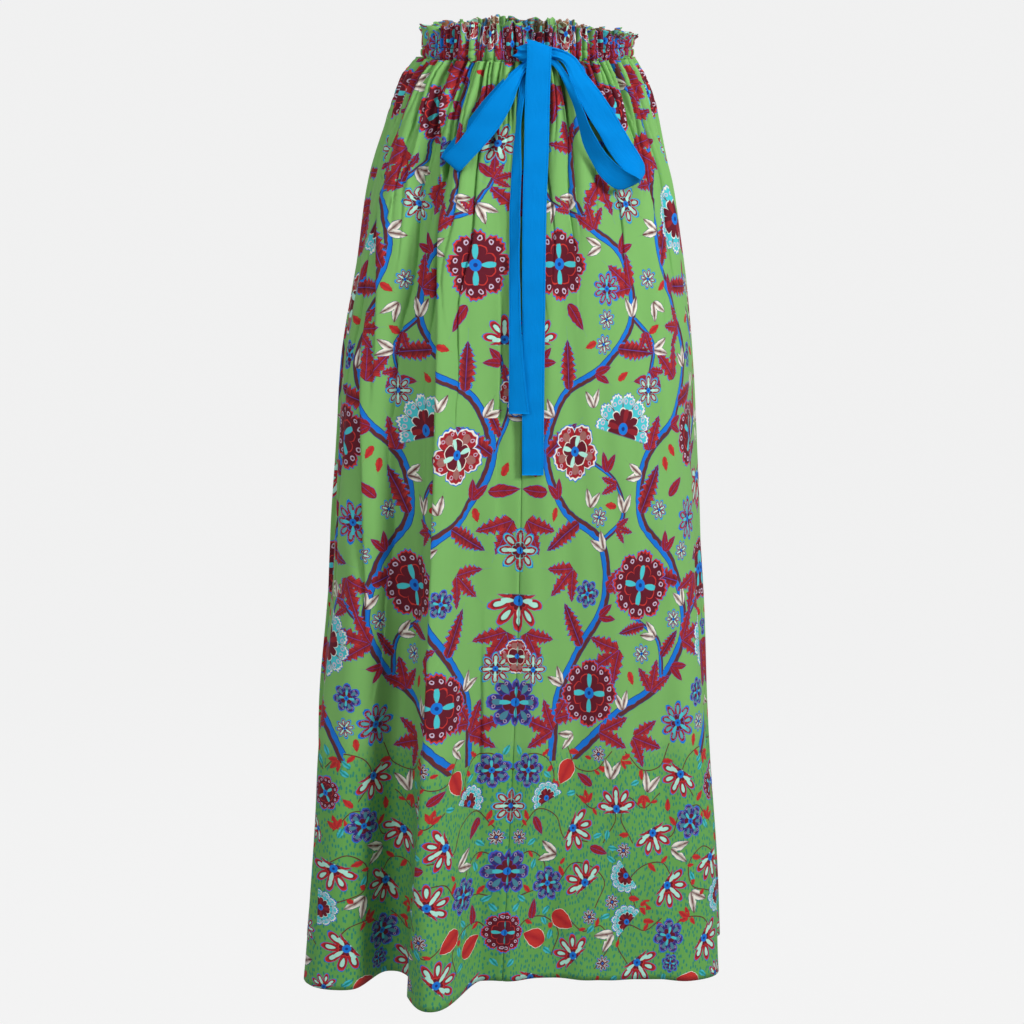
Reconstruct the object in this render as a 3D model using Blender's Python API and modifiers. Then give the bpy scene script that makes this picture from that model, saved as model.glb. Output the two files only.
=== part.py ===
"""Full-length gathered skirt of printed cotton, with a plain blue cotton tie in a bow.

The cloth hangs as if worn: open at the waist and at the hem, and hollow between. Metres, +Z up.
The origin is the middle of the waist casing. The front faces -Y, and the hem is below the origin.
Heights are written as a drop below the middle of the casing. Places round the skirt are a share of
the whole round: 0 at the centre front, 0.25 at the right side seam as seen from the front, 0.5 at
the centre back and -0.25 at the left side seam.
"""
import bmesh
import bpy
import numpy as np

# Driving sizes
LENGTH = 0.985           # middle of the casing to the hem
CASING_HALF = 0.0055     # half the height of the casing
FRILL_TOP = 0.030        # height of the frill's free edge above the middle of the casing
SEAM_GAP = 0.0005        # space between two pieces at a seam
PANEL_WALL = 0.0013
CASING_WALL = 0.0030
FRILL_WALL = 0.0013
TIE_WALL = 0.0016
SIDE_SEAM = 0.25         # share of the round at the side seams

# Gathers under the casing: equal waves that die away down the skirt
GATHERS_ROUND = 32
GATHER_DEPTH = 0.0026
GATHER_REACH = 0.16
CASING_SCALLOP = 0.0008

# The frill above the casing
FRILL_WAVE = 0.0024      # how far its waves stand out at the free edge
FRILL_DIP = 0.013        # how far it drops where the knot pulls it down
FRILL_DIP_AT = 0.020
FRILL_DIP_WIDE = 0.042

# Folds are fuller at the crest than a plain wave by this share
CREST_FULLNESS = 0.6

# Mesh steps
STEPS_PER_GATHER = 4
PANEL_ROWS = 12
TOP_CROWDING = 1.5       # rows lie closer together towards the waist
RIBBON_STEPS = 3         # between two rows of a ribbon's table

# Level sections. Left and right are the widest points in X, seam is the centre-front line in X, widest
# is the Y of the widest points, and the two last columns say how square the corners are (2 is an oval).
SECTION_COLUMNS = ("drop", "left", "right", "seam", "widest", "front", "back", "front_square", "back_square")
SECTIONS = (
    (-0.032, -0.1145, 0.1185, 0.0000, 0.000, -0.0905, 0.089, 2.1, 2.1),
    (0.000, -0.1090, 0.1095, 0.0000, 0.000, -0.0880, 0.086, 2.1, 2.1),
    (0.021, -0.1240, 0.1200, -0.0005, -0.002, -0.0970, 0.098, 2.1, 2.1),
    (0.049, -0.1370, 0.1315, -0.0010, -0.005, -0.1050, 0.107, 2.2, 2.1),
    (0.085, -0.1490, 0.1415, -0.0015, -0.008, -0.1120, 0.115, 2.2, 2.2),
    (0.135, -0.1630, 0.1560, -0.0020, -0.012, -0.1190, 0.124, 2.3, 2.2),
    (0.207, -0.1775, 0.1660, -0.0030, -0.020, -0.1260, 0.131, 2.5, 2.2),
    (0.324, -0.1985, 0.1775, -0.0040, -0.035, -0.1340, 0.135, 2.7, 2.2),
    (0.454, -0.2080, 0.1820, -0.0060, -0.050, -0.1420, 0.138, 2.9, 2.3),
    (0.584, -0.2150, 0.1865, -0.0090, -0.065, -0.1490, 0.141, 3.1, 2.3),
    (0.694, -0.2235, 0.1920, -0.0125, -0.078, -0.1540, 0.144, 3.2, 2.3),
    (0.828, -0.2270, 0.1965, -0.0190, -0.095, -0.1620, 0.148, 3.3, 2.4),
    (0.985, -0.2370, 0.2040, -0.0265, -0.110, -0.1705, 0.152, 3.5, 2.4),
)

# The largest folds, each a soft ridge (proud above 0) or trough (proud below 0) that runs from its
# start to the hem. Top and hem are its place round the skirt, narrow and wide its half-widths there,
# proud its height at the hem, lean how far its crest leans over for each metre that it stands proud,
# and low how much lower its hem hangs.
FOLD_COLUMNS = ("top", "hem", "start", "narrow", "wide", "proud", "lean", "low")
FOLDS = (
    (-0.085, -0.051, 0.10, 0.022, 0.043, 0.064, -0.14, 0.008),
    (-0.120, -0.100, 0.08, 0.020, 0.034, -0.026, 0.00, 0.000),
    (-0.160, -0.146, 0.20, 0.030, 0.058, 0.030, 0.15, 0.004),
    (-0.205, -0.200, 0.25, 0.030, 0.050, -0.016, 0.00, 0.000),
    (0.075, 0.036, 0.14, 0.030, 0.050, -0.010, 0.00, 0.000),
    (0.170, 0.168, 0.30, 0.030, 0.050, 0.012, 0.10, 0.002),
    (0.215, 0.222, 0.20, 0.025, 0.050, -0.016, 0.00, 0.000),
    (0.262, 0.276, 0.16, 0.025, 0.060, 0.022, -0.10, 0.003),
    (0.315, 0.327, 0.22, 0.025, 0.050, -0.018, 0.00, 0.000),
    (0.365, 0.383, 0.12, 0.028, 0.062, 0.038, 0.15, 0.005),
    (0.430, 0.440, 0.20, 0.025, 0.055, -0.014, 0.00, 0.000),
    (0.490, 0.498, 0.15, 0.028, 0.060, 0.034, 0.10, 0.004),
    (0.545, 0.556, 0.24, 0.025, 0.050, -0.018, 0.00, 0.000),
    (0.605, 0.616, 0.12, 0.028, 0.060, 0.036, -0.20, 0.005),
    (0.670, 0.674, 0.20, 0.025, 0.050, -0.016, 0.00, 0.000),
    (0.725, 0.736, 0.15, 0.028, 0.056, 0.026, -0.10, 0.003),
)

# The tie. Each row is one place along a ribbon: X, drop and clearance from the skirt's smooth front,
# in millimetres, for one edge (a) and then for the other (b).
LONG_TAIL = (
    (-0.3, -16.5, 9.5, 24.6, -13.5, 9.5),
    (-0.5, -18.0, 13.5, 24.7, -14.5, 13.0),
    (-1.0, -11.0, 17.6, 24.6, -8.0, 17.2),
    (-1.1, 3.0, 18.2, 24.5, 3.0, 17.8),
    (-2.0, 22.0, 13.5, 23.8, 22.0, 12.5),
    (-2.7, 44.0, 9.5, 23.0, 44.0, 8.5),
    (-3.7, 94.0, 8.0, 22.0, 92.0, 7.0),
    (-5.0, 145.0, 7.5, 20.0, 145.0, 7.0),
    (-5.4, 289.0, 6.5, 18.2, 289.0, 6.5),
    (-5.5, 431.0, 6.5, 17.0, 431.0, 6.5),
)
SHORT_TAIL = (
    (-7.0, 17.0, 8.0, 4.0, 17.0, 8.0),
    (-9.0, 35.0, 8.5, -1.0, 35.0, 5.0),
    (-11.5, 54.0, 8.5, -5.0, 54.0, 4.0),
    (-15.0, 104.0, 8.5, -6.0, 104.0, 4.0),
    (-18.0, 145.0, 8.5, -7.2, 145.0, 4.5),
    (-18.8, 247.0, 8.0, -7.4, 247.0, 6.5),
    (-19.2, 300.0, 7.0, -4.8, 300.0, 9.5),
    (-19.4, 340.0, 7.0, -1.0, 340.0, 10.5),
    (-19.4, 366.0, 7.0, 1.7, 366.0, 10.5),
)
LEFT_LOOP = (
    (-9.5, 10.5, 12.5, -4.5, 20.5, 12.5),
    (-16.0, 15.7, 13.5, -8.8, 29.6, 13.5),
    (-33.5, 35.7, 14.5, -15.0, 46.6, 14.5),
    (-56.1, 66.0, 14.5, -33.5, 76.8, 14.5),
    (-74.8, 89.5, 13.0, -56.2, 102.4, 13.0),
    (-89.5, 102.6, 9.0, -70.7, 117.0, 9.0),
    (-86.0, 97.0, 5.5, -67.5, 112.0, 5.5),
    (-67.5, 73.0, 5.5, -48.0, 86.5, 5.5),
    (-45.0, 44.0, 5.5, -26.0, 57.5, 5.5),
    (-25.0, 22.5, 6.0, -14.0, 37.5, 6.0),
)
RIGHT_LOOP = (
    (28.0, -8.6, 10.4, 27.6, 2.9, 10.4),
    (44.9, -2.0, 13.0, 36.6, 7.0, 12.0),
    (62.4, 20.2, 15.0, 45.8, 28.0, 13.0),
    (80.7, 44.1, 16.0, 59.2, 55.3, 12.0),
    (95.8, 67.2, 16.0, 72.8, 77.8, 11.0),
    (108.1, 88.1, 15.0, 84.4, 97.5, 10.0),
    (117.8, 102.9, 13.0, 94.9, 111.0, 13.0),
    (123.0, 115.2, 11.0, 106.3, 120.2, 24.0),
    (122.2, 122.8, 11.0, 114.0, 124.1, 32.0),
    (116.2, 128.3, 12.0, 114.8, 123.5, 35.0),
    (106.5, 132.3, 14.0, 106.7, 119.2, 35.0),
    (94.6, 135.0, 15.0, 96.1, 112.2, 32.0),
    (78.9, 125.4, 15.0, 84.8, 101.6, 28.0),
    (65.0, 104.6, 13.0, 73.3, 85.7, 27.0),
    (56.5, 86.0, 11.0, 64.7, 70.9, 25.0),
    (51.0, 64.3, 10.0, 57.5, 53.7, 22.0),
    (45.8, 46.2, 9.0, 49.8, 36.8, 19.0),
    (38.6, 28.1, 8.0, 42.2, 23.0, 15.0),
    (29.4, 14.5, 6.5, 31.5, 7.0, 7.5),
)
KNOT_MIDDLE = (0.0080, -0.0972, 0.0010)
KNOT_HALF_SIZES = (0.0155, 0.0060, 0.0135)
KNOT_SEGMENTS = 20
KNOT_RINGS = 12
KNOT_PINCH = 0.16

# Colours and finish
GREEN_COTTON = (0.20, 0.42, 0.11)
BLUE_COTTON = (0.005, 0.22, 0.68)
CLOTH_ROUGHNESS = 0.85
MILLIMETRE = 0.001


def clear_scene():
    """Remove every object that the file opens with."""
    for item in list(bpy.data.objects):
        bpy.data.objects.remove(item, do_unlink=True)


def smooth_column(at, knots, values):
    """Read a table's column between its rows, on a cubic whose slope at a row is its neighbours' chord."""
    at = np.asarray(at, dtype=float)
    knots = np.asarray(knots, dtype=float)
    values = np.asarray(values, dtype=float)
    slopes = np.gradient(values, knots)
    row = np.clip(np.searchsorted(knots, at) - 1, 0, len(knots) - 2)
    step = knots[row + 1] - knots[row]
    t = np.clip((at - knots[row]) / step, 0.0, 1.0)
    from_row = values[row] * (2 * t**3 - 3 * t**2 + 1) + slopes[row] * step * (t**3 - 2 * t**2 + t)
    to_row = values[row + 1] * (3 * t**2 - 2 * t**3) + slopes[row + 1] * step * (t**3 - t**2)
    return from_row + to_row


def section_sizes(drop):
    """The sizes of the level section at each drop, as a dictionary by column name."""
    table = np.array(SECTIONS)
    return {
        name: smooth_column(drop, table[:, 0], table[:, column])
        for column, name in enumerate(SECTION_COLUMNS)
    }


def half_outline(sizes, side, points=180):
    """Half of a level section, centre front to centre back: two quarters of superellipses that meet
    at the widest point. side is 1 for the right half and -1 for the left."""
    turn = np.linspace(0.0, np.pi, points)
    before = turn <= np.pi / 2
    power = 2.0 / np.where(before, sizes["front_square"], sizes["back_square"])
    reach = (sizes["right"] if side > 0 else -sizes["left"]) + (-side * sizes["seam"])
    across = sizes["seam"] + side * reach * np.abs(np.sin(turn)) ** power
    end = np.where(before, sizes["front"], sizes["back"])
    deep = sizes["widest"] + (end - sizes["widest"]) * np.abs(np.cos(turn)) ** power
    return across, deep


def smooth_form(around, drops):
    """The skirt without folds: for each drop and each share of the round, the point, the outward
    direction and the direction along the round. Shares are even in length within each half."""
    around = np.asarray(around, dtype=float)
    folded = (around + 0.5) % 1.0 - 0.5
    points = np.zeros((len(drops), len(around), 3))
    along = np.zeros_like(points)
    nudge = 0.0005
    for number, drop in enumerate(drops):
        sizes = section_sizes(drop)
        for side in (-1, 1):
            outline = np.stack(half_outline(sizes, side), axis=1)
            length = np.concatenate(([0.0], np.cumsum(np.linalg.norm(np.diff(outline, axis=0), axis=1))))
            here = folded * side >= 0
            place = np.abs(folded[here]) * 2.0 * length[-1]
            for axis in (0, 1):
                points[number, here, axis] = np.interp(place, length, outline[:, axis])
                ahead = np.interp(place + nudge, length, outline[:, axis])
                behind = np.interp(place - nudge, length, outline[:, axis])
                along[number, here, axis] = side * (ahead - behind)
    along /= np.linalg.norm(along, axis=2, keepdims=True)
    outward = np.stack([along[..., 1], -along[..., 0], np.zeros_like(along[..., 0])], axis=2)
    points[..., 2] = -np.asarray(drops)[:, None]
    return points, outward, along


def round_length(drop):
    """The length of the whole smooth round at a drop."""
    sizes = section_sizes(drop)
    total = 0.0
    for side in (-1, 1):
        across, deep = half_outline(sizes, side)
        total += np.hypot(np.diff(across), np.diff(deep)).sum()
    return total


def ripple(around):
    """The gathers as a wave from -1 to 1, with a trough at each seam."""
    return -np.cos(2 * np.pi * GATHERS_ROUND * np.asarray(around))


def gather_wave(around, drops):
    """The gathers down the skirt: deepest under the casing and gone at GATHER_REACH."""
    fade = np.clip(1.0 - np.asarray(drops) / GATHER_REACH, 0.0, 1.0) ** 1.5
    return GATHER_DEPTH * fade[:, None] * ripple(around)[None, :]


def skirt_surface(around, drops):
    """Points of the cloth: the smooth form, moved out by the gathers and by each fold of the table."""
    drops = np.asarray(drops, dtype=float)
    points, outward, along = smooth_form(around, drops)
    rounds = np.array([round_length(drop) for drop in drops])
    out = gather_wave(around, drops)
    slide = np.zeros_like(out)
    lower = np.zeros_like(out)
    for row in FOLDS:
        fold = dict(zip(FOLD_COLUMNS, row))
        run = np.clip((drops - fold["start"]) / (LENGTH - fold["start"]), 0.0, 1.0)
        middle = fold["top"] + (fold["hem"] - fold["top"]) * run
        half_width = fold["narrow"] + (fold["wide"] - fold["narrow"]) * run
        distance = (np.asarray(around)[None, :] - middle[:, None] + 0.5) % 1.0 - 0.5
        q = np.clip(distance * rounds[:, None] / half_width[:, None], -1.0, 1.0)
        arch = 0.5 + 0.5 * np.cos(np.pi * q)
        ridge = arch * (1.0 + CREST_FULLNESS * (1.0 - arch))
        height = fold["proud"] * run[:, None] ** 1.15 * ridge
        out += height
        slide += fold["lean"] * height
        lower += fold["low"] * run[:, None] ** 3 * ridge
    points = points + outward * out[..., None] + along * slide[..., None]
    points[..., 2] -= lower
    return points


def frill_surface(around, shares):
    """Points of the standing frill, by share of its height: it follows the gathers, stands out more
    towards its free edge, and dips at the front where the knot pulls it down."""
    around = np.asarray(around, dtype=float)
    dip = np.clip(1.0 - np.abs((around - FRILL_DIP_AT) / FRILL_DIP_WIDE), 0.0, 1.0)
    top = FRILL_TOP - FRILL_DIP * (3 * dip**2 - 2 * dip**3)
    foot = CASING_HALF + SEAM_GAP
    rows = []
    for share in shares:
        height = foot + (top - foot) * share
        points, outward, _ = smooth_form(around, [-height.mean()])
        wave = GATHER_DEPTH * (1 - share) + FRILL_WAVE * share
        points = points[0] + outward[0] * (wave * ripple(around))[:, None]
        points[:, 2] = height
        rows.append(points)
    return np.array(rows)


def grid_mesh(name, grid, closed=False):
    """A sheet of quads through a grid of points, faces outwards; closed joins its last column to its first."""
    rows, columns = grid.shape[:2]
    mesh = bmesh.new()
    verts = [[mesh.verts.new(tuple(point)) for point in row] for row in grid]
    for r in range(rows - 1):
        for c in range(columns if closed else columns - 1):
            d = (c + 1) % columns
            mesh.faces.new((verts[r][c], verts[r + 1][c], verts[r + 1][d], verts[r][d]))
    data = bpy.data.meshes.new(name)
    mesh.to_mesh(data)
    mesh.free()
    return data


def cotton(name, colour):
    """A matt cotton of one colour."""
    material = bpy.data.materials.new(name)
    material.use_nodes = True
    shader = material.node_tree.nodes["Principled BSDF"]
    shader.inputs["Base Color"].default_value = (*colour, 1.0)
    shader.inputs["Roughness"].default_value = CLOTH_ROUGHNESS
    shader.inputs["Metallic"].default_value = 0.0
    return material


def add_piece(name, mesh, material, wall=None, side=-1.0):
    """Put a mesh in the skirt's collection; wall gives it a thickness, inwards unless side says else."""
    piece = bpy.data.objects.new(name, mesh)
    mesh.materials.append(material)
    skirt_collection.objects.link(piece)
    if wall:
        solid = piece.modifiers.new("wall", "SOLIDIFY")
        solid.thickness = wall
        solid.offset = side
        solid.use_even_offset = False
    mesh.shade_smooth()
    return piece


def row_drops():
    """Drops from just under the casing to the hem, closer together at the top."""
    share = np.linspace(0.0, 1.0, PANEL_ROWS + 1) ** TOP_CROWDING
    top = CASING_HALF + SEAM_GAP
    return top + (LENGTH - top) * share


def make_panel(name, first, last):
    """One panel between two shares of the round, held half a seam gap back from each seam."""
    steps = round((last - first) * GATHERS_ROUND * STEPS_PER_GATHER)
    around = np.linspace(first, last, steps + 1)
    grid = skirt_surface(around, row_drops())
    for edge, neighbour in ((0, 1), (-1, -2)):
        inwards = grid[:, neighbour] - grid[:, edge]
        inwards /= np.linalg.norm(inwards, axis=1, keepdims=True)
        grid[:, edge] += inwards * SEAM_GAP / 2
    return add_piece(name, grid_mesh(name, grid), cotton(name, GREEN_COTTON), PANEL_WALL)


def make_casing():
    """The elasticated channel: an upright ring, a little thicker than the cloth, in shallow scallops."""
    around = np.arange(GATHERS_ROUND * 2) / (GATHERS_ROUND * 2)
    heights = (CASING_HALF, -CASING_HALF)
    points, outward, _ = smooth_form(around, [0.0, 0.0])
    scallop = CASING_SCALLOP * ripple(around)
    grid = points + outward * scallop[None, :, None]
    grid[..., 2] = np.array(heights)[:, None]
    mesh = grid_mesh("waist_casing", grid, closed=True)
    return add_piece("waist_casing", mesh, cotton("waist_casing", GREEN_COTTON), CASING_WALL)


def make_frill():
    """The frill above the casing, a wavy ring."""
    around = np.arange(GATHERS_ROUND * STEPS_PER_GATHER) / (GATHERS_ROUND * STEPS_PER_GATHER)
    grid = frill_surface(around, (1.0, 0.0))
    mesh = grid_mesh("header_ruffle", grid, closed=True)
    return add_piece("header_ruffle", mesh, cotton("header_ruffle", GREEN_COTTON), FRILL_WALL)


def on_front(x, drop, clear):
    """A point in front of the smooth skirt at X and drop, the clearance nearer to the viewer."""
    sizes = section_sizes(drop)
    reach = np.where(x > sizes["seam"], sizes["right"] - sizes["seam"], sizes["seam"] - sizes["left"])
    share = np.clip(np.abs(x - sizes["seam"]) / reach, 0.0, 1.0)
    power = sizes["front_square"]
    depth = (1.0 - share**power) ** (1.0 / power)
    y = sizes["widest"] + (sizes["front"] - sizes["widest"]) * depth - clear
    return np.stack([x, y, -drop], axis=-1)


def make_ribbon(name, rows):
    """A band of doubled cotton through a table of places along it, smooth between them."""
    table = np.array(rows) * MILLIMETRE
    edges = [on_front(table[:, k], table[:, k + 1], table[:, k + 2]) for k in (0, 3)]
    middle = (edges[0] + edges[1]) / 2
    run = np.concatenate(([0.0], np.cumsum(np.linalg.norm(np.diff(middle, axis=0), axis=1))))
    steps = RIBBON_STEPS * (len(rows) - 1)
    at = np.interp(np.linspace(0.0, len(rows) - 1, steps + 1), np.arange(len(rows)), run)
    curves = [
        np.stack([smooth_column(at, run, edge[:, axis]) for axis in range(3)], axis=1) for edge in edges
    ]
    grid = np.stack(curves, axis=1)
    return add_piece(name, grid_mesh(name, grid), cotton(name, BLUE_COTTON), TIE_WALL, side=0.0)


def make_knot():
    """The knot: a flattened lump, pinched at mid-width by the band that goes round it."""
    mesh = bmesh.new()
    bmesh.ops.create_uvsphere(mesh, u_segments=KNOT_SEGMENTS, v_segments=KNOT_RINGS, radius=1.0)
    for vert in mesh.verts:
        pinch = 1.0 - KNOT_PINCH * (1.0 - vert.co.x**2) * abs(vert.co.z)
        vert.co = [
            middle + half * value
            for middle, half, value in zip(KNOT_MIDDLE, KNOT_HALF_SIZES, (vert.co.x, vert.co.y, vert.co.z * pinch))
        ]
    data = bpy.data.meshes.new("tie_knot")
    mesh.to_mesh(data)
    mesh.free()
    return add_piece("tie_knot", data, cotton("tie_knot", BLUE_COTTON))


clear_scene()
skirt_collection = bpy.data.collections.new("gathered_maxi_skirt")
bpy.context.scene.collection.children.link(skirt_collection)

make_panel("front_left", -SIDE_SEAM, 0.0)
make_panel("front_right", 0.0, SIDE_SEAM)
make_panel("back_right", SIDE_SEAM, 0.5)
make_panel("back_left", 0.5, 1.0 - SIDE_SEAM)
make_casing()
make_frill()
make_knot()
make_ribbon("tie_loop_left", LEFT_LOOP)
make_ribbon("tie_loop_right", RIGHT_LOOP)
make_ribbon("tie_tail_long", LONG_TAIL)
make_ribbon("tie_tail_short", SHORT_TAIL)
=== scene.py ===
"""Looks of a full-length gathered skirt of printed cotton with a plain blue cotton tie in a bow.

Metres, +Z up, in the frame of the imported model: the origin is the middle of the waist casing, the
front faces -Y, and the hem is below the origin. Heights are written as a drop below the middle of the
casing. Places round the skirt are a share of the whole round: 0 at the centre front, 0.25 at the right
side seam as seen from the front, 0.5 at the centre back and -0.25 at the left side seam.
"""
import math

import bpy
import numpy as np
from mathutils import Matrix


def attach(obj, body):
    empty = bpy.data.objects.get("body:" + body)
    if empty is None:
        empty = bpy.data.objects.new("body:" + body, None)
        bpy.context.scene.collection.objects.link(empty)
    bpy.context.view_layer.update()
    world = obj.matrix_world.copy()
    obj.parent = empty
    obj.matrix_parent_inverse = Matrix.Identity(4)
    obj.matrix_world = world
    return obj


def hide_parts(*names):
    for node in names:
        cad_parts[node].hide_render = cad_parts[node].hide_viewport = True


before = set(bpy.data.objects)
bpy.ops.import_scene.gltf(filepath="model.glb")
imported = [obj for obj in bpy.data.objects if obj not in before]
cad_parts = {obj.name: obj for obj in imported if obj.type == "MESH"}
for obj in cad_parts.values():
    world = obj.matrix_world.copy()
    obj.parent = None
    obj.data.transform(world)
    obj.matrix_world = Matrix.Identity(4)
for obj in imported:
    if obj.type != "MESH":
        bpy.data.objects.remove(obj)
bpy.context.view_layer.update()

# Camera, floor and light. The camera looks slightly down on the skirt, as in the photograph. The floor
# is a wide shallow bowl of plain pale studio paper, well below the hem. Large soft lights stand to
# the front right, the front left and above.
CAMERA_PLACE = (-0.016, -2.9, 0.13)
CAMERA_PITCH = math.radians(12.3)
FOCAL_PIXELS = 2683.0
IMAGE_PIXELS = 1024
SENSOR_WIDTH = 36.0
FAR_CLIP = 60.0

camera_data = bpy.data.cameras.new("camera")
camera_data.sensor_width = SENSOR_WIDTH
camera_data.lens = FOCAL_PIXELS * SENSOR_WIDTH / IMAGE_PIXELS
camera_data.clip_end = FAR_CLIP
camera = bpy.data.objects.new("camera", camera_data)
camera.location = CAMERA_PLACE
camera.rotation_euler = (math.pi / 2 - CAMERA_PITCH, 0.0, 0.0)
bpy.context.scene.collection.objects.link(camera)
bpy.context.scene.camera = camera
bpy.context.scene.view_settings.view_transform = "Standard"

FLOOR_DROP = 1.75
FLOOR_FLAT = 7.0
FLOOR_REACH = 11.0
FLOOR_WALL = 7.0
PAPER_COLOUR = (0.05, 0.05, 0.05)
PAPER_GLOW = 0.862
PAPER_ROUGHNESS = 0.95


def grid_faces(rows, columns, closed=False):
    """Corner numbers of the quads of a grid of points, row after row. closed joins the last column
    to the first."""
    across = columns if closed else columns - 1
    row, column = np.meshgrid(np.arange(rows - 1), np.arange(across), indexing="ij")
    after = (column + 1) % columns
    above = row * columns
    below = above + columns
    corners = (above + column, below + column, below + after, above + after)
    return np.stack(corners, axis=-1).reshape(-1, 4)


def grid_mesh(name, points, closed=False):
    """A smooth-shaded sheet of quads through an array of points of rows by columns."""
    faces = grid_faces(points.shape[0], points.shape[1], closed)
    mesh = bpy.data.meshes.new(name)
    mesh.vertices.add(points.shape[0] * points.shape[1])
    mesh.vertices.foreach_set("co", points.astype(np.float32).ravel())
    mesh.loops.add(faces.size)
    mesh.loops.foreach_set("vertex_index", faces.astype(np.int32).ravel())
    mesh.polygons.add(len(faces))
    mesh.polygons.foreach_set("loop_start", np.arange(0, faces.size, 4, dtype=np.int32))
    mesh.update(calc_edges=True)
    mesh.shade_smooth()
    return mesh


def add_object(name, mesh, *materials):
    """Link a mesh as an object at the origin, with its materials."""
    item = bpy.data.objects.new(name, mesh)
    for material in materials:
        mesh.materials.append(material)
    bpy.context.scene.collection.objects.link(item)
    return item


def floor_bowl(turn, run):
    """The paper: flat out to FLOOR_FLAT, then a quarter of an ellipse up to FLOOR_WALL. run is 0 at
    the middle, 1 where it starts to rise and 2 at its rim."""
    rise = np.clip(run - 1.0, 0.0, 1.0) * np.pi / 2
    radius = FLOOR_FLAT * np.minimum(run, 1.0) + (FLOOR_REACH - FLOOR_FLAT) * np.sin(rise)
    height = -FLOOR_DROP + FLOOR_WALL * (1.0 - np.cos(rise))
    return np.stack([radius * np.cos(turn), radius * np.sin(turn), height + 0.0 * turn], axis=-1)


FLOOR_RUNS = np.concatenate(([0.001, 0.5], np.linspace(1.0, 2.0, 17)))
FLOOR_TURNS = np.linspace(0, 2 * np.pi, 65)

run, turn = np.meshgrid(FLOOR_RUNS, FLOOR_TURNS)
paper = bpy.data.materials.new("studio_paper")
paper.use_nodes = True
paper_shader = paper.node_tree.nodes["Principled BSDF"]
paper_shader.inputs["Base Color"].default_value = (*PAPER_COLOUR, 1.0)
paper_shader.inputs["Roughness"].default_value = PAPER_ROUGHNESS
paper_shader.inputs["Specular IOR Level"].default_value = 0.0
paper_shader.inputs["Emission Color"].default_value = (1.0, 1.0, 1.0, 1.0)
paper_shader.inputs["Emission Strength"].default_value = PAPER_GLOW
floor = add_object("studio_floor", grid_mesh("studio_floor", floor_bowl(turn, run)[::-1]), paper)
floor.visible_diffuse = False    # the paper's glow doesn't light the cloth; the lamps and the world do

# Place, size, watts and what it points at
LIGHTS = {
    "light_front_right": ((2.05, -1.75, 0.95), 0.8, 66.0, (0.0, 0.0, -0.4)),
    "light_front_left": ((-2.0, -2.1, 0.7), 1.6, 27.0, (0.0, 0.0, -0.4)),
    "light_above": ((0.2, -1.1, 2.1), 1.2, 19.0, (0.0, 0.0, -0.3)),
    "light_behind": ((0.0, 2.8, 0.8), 2.5, 30.0, (0.0, 0.0, -0.5)),
}
for name, (place, size, watts, aim) in LIGHTS.items():
    light = bpy.data.lights.new(name, "AREA")
    light.shape = "DISK"
    light.size = size
    light.energy = watts
    lamp = bpy.data.objects.new(name, light)
    lamp.location = place
    away = np.array(place) - np.array(aim)
    tilt = math.acos(away[2] / np.linalg.norm(away))
    lamp.rotation_euler = (tilt, 0.0, math.atan2(away[1], away[0]) + math.pi / 2)
    bpy.context.scene.collection.objects.link(lamp)

SKY_COLOUR = (0.95, 0.97, 1.0, 1.0)
SKY_STRENGTH = 0.24
world = bpy.data.worlds.new("studio")
world.use_nodes = True
sky = world.node_tree.nodes["Background"]
sky.inputs["Color"].default_value = SKY_COLOUR
sky.inputs["Strength"].default_value = SKY_STRENGTH
bpy.context.scene.world = world

# The four skirt panels: thin printed cotton, cut as flared trapezoids, joined at the centre front, the
# centre back and the side seams and gathered into the casing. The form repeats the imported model's level
# sections and largest folds, and the fine gathers, tucks and creases are added to it.
LENGTH = 0.985
CASING_HALF = 0.0055
SEAM_GAP = 0.0005
SIDE_SEAM = 0.25
CREST_FULLNESS = 0.6
CLOTH_THICK = 0.0006
SEAM_BEND = 0.0009       # at a seam the cloth bends in this far from its edge
SEAM_LAP = 0.0006        # a panel's last edge laps this far under the next panel's first edge
SEAM_UNDER = 0.0014      # and this deep
SEAM_GROOVE = 0.0006     # depth of the groove along a seam
SEAM_GROOVE_HALF = 0.0016
TOP_ROUND = 1.20         # the whole cloth round the skirt before it is gathered, at the waist
HEM_ROUND = 1.70

SECTION_COLUMNS = ("drop", "left", "right", "seam", "widest", "front", "back", "front_square", "back_square")
SECTIONS = np.array((
    (-0.032, -0.1145, 0.1185, 0.0000, 0.000, -0.0905, 0.089, 2.1, 2.1),
    (0.000, -0.1090, 0.1095, 0.0000, 0.000, -0.0880, 0.086, 2.1, 2.1),
    (0.021, -0.1240, 0.1200, -0.0005, -0.002, -0.0970, 0.098, 2.1, 2.1),
    (0.049, -0.1370, 0.1315, -0.0010, -0.005, -0.1050, 0.107, 2.2, 2.1),
    (0.085, -0.1490, 0.1415, -0.0015, -0.008, -0.1120, 0.115, 2.2, 2.2),
    (0.135, -0.1630, 0.1560, -0.0020, -0.012, -0.1190, 0.124, 2.3, 2.2),
    (0.207, -0.1775, 0.1660, -0.0030, -0.020, -0.1260, 0.131, 2.5, 2.2),
    (0.324, -0.1985, 0.1775, -0.0040, -0.035, -0.1340, 0.135, 2.7, 2.2),
    (0.454, -0.2080, 0.1820, -0.0060, -0.050, -0.1420, 0.138, 2.9, 2.3),
    (0.584, -0.2150, 0.1865, -0.0090, -0.065, -0.1490, 0.141, 3.1, 2.3),
    (0.694, -0.2235, 0.1920, -0.0125, -0.078, -0.1540, 0.144, 3.2, 2.3),
    (0.828, -0.2270, 0.1965, -0.0190, -0.095, -0.1620, 0.148, 3.3, 2.4),
    (0.985, -0.2370, 0.2040, -0.0265, -0.110, -0.1705, 0.152, 3.5, 2.4),
))

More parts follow.
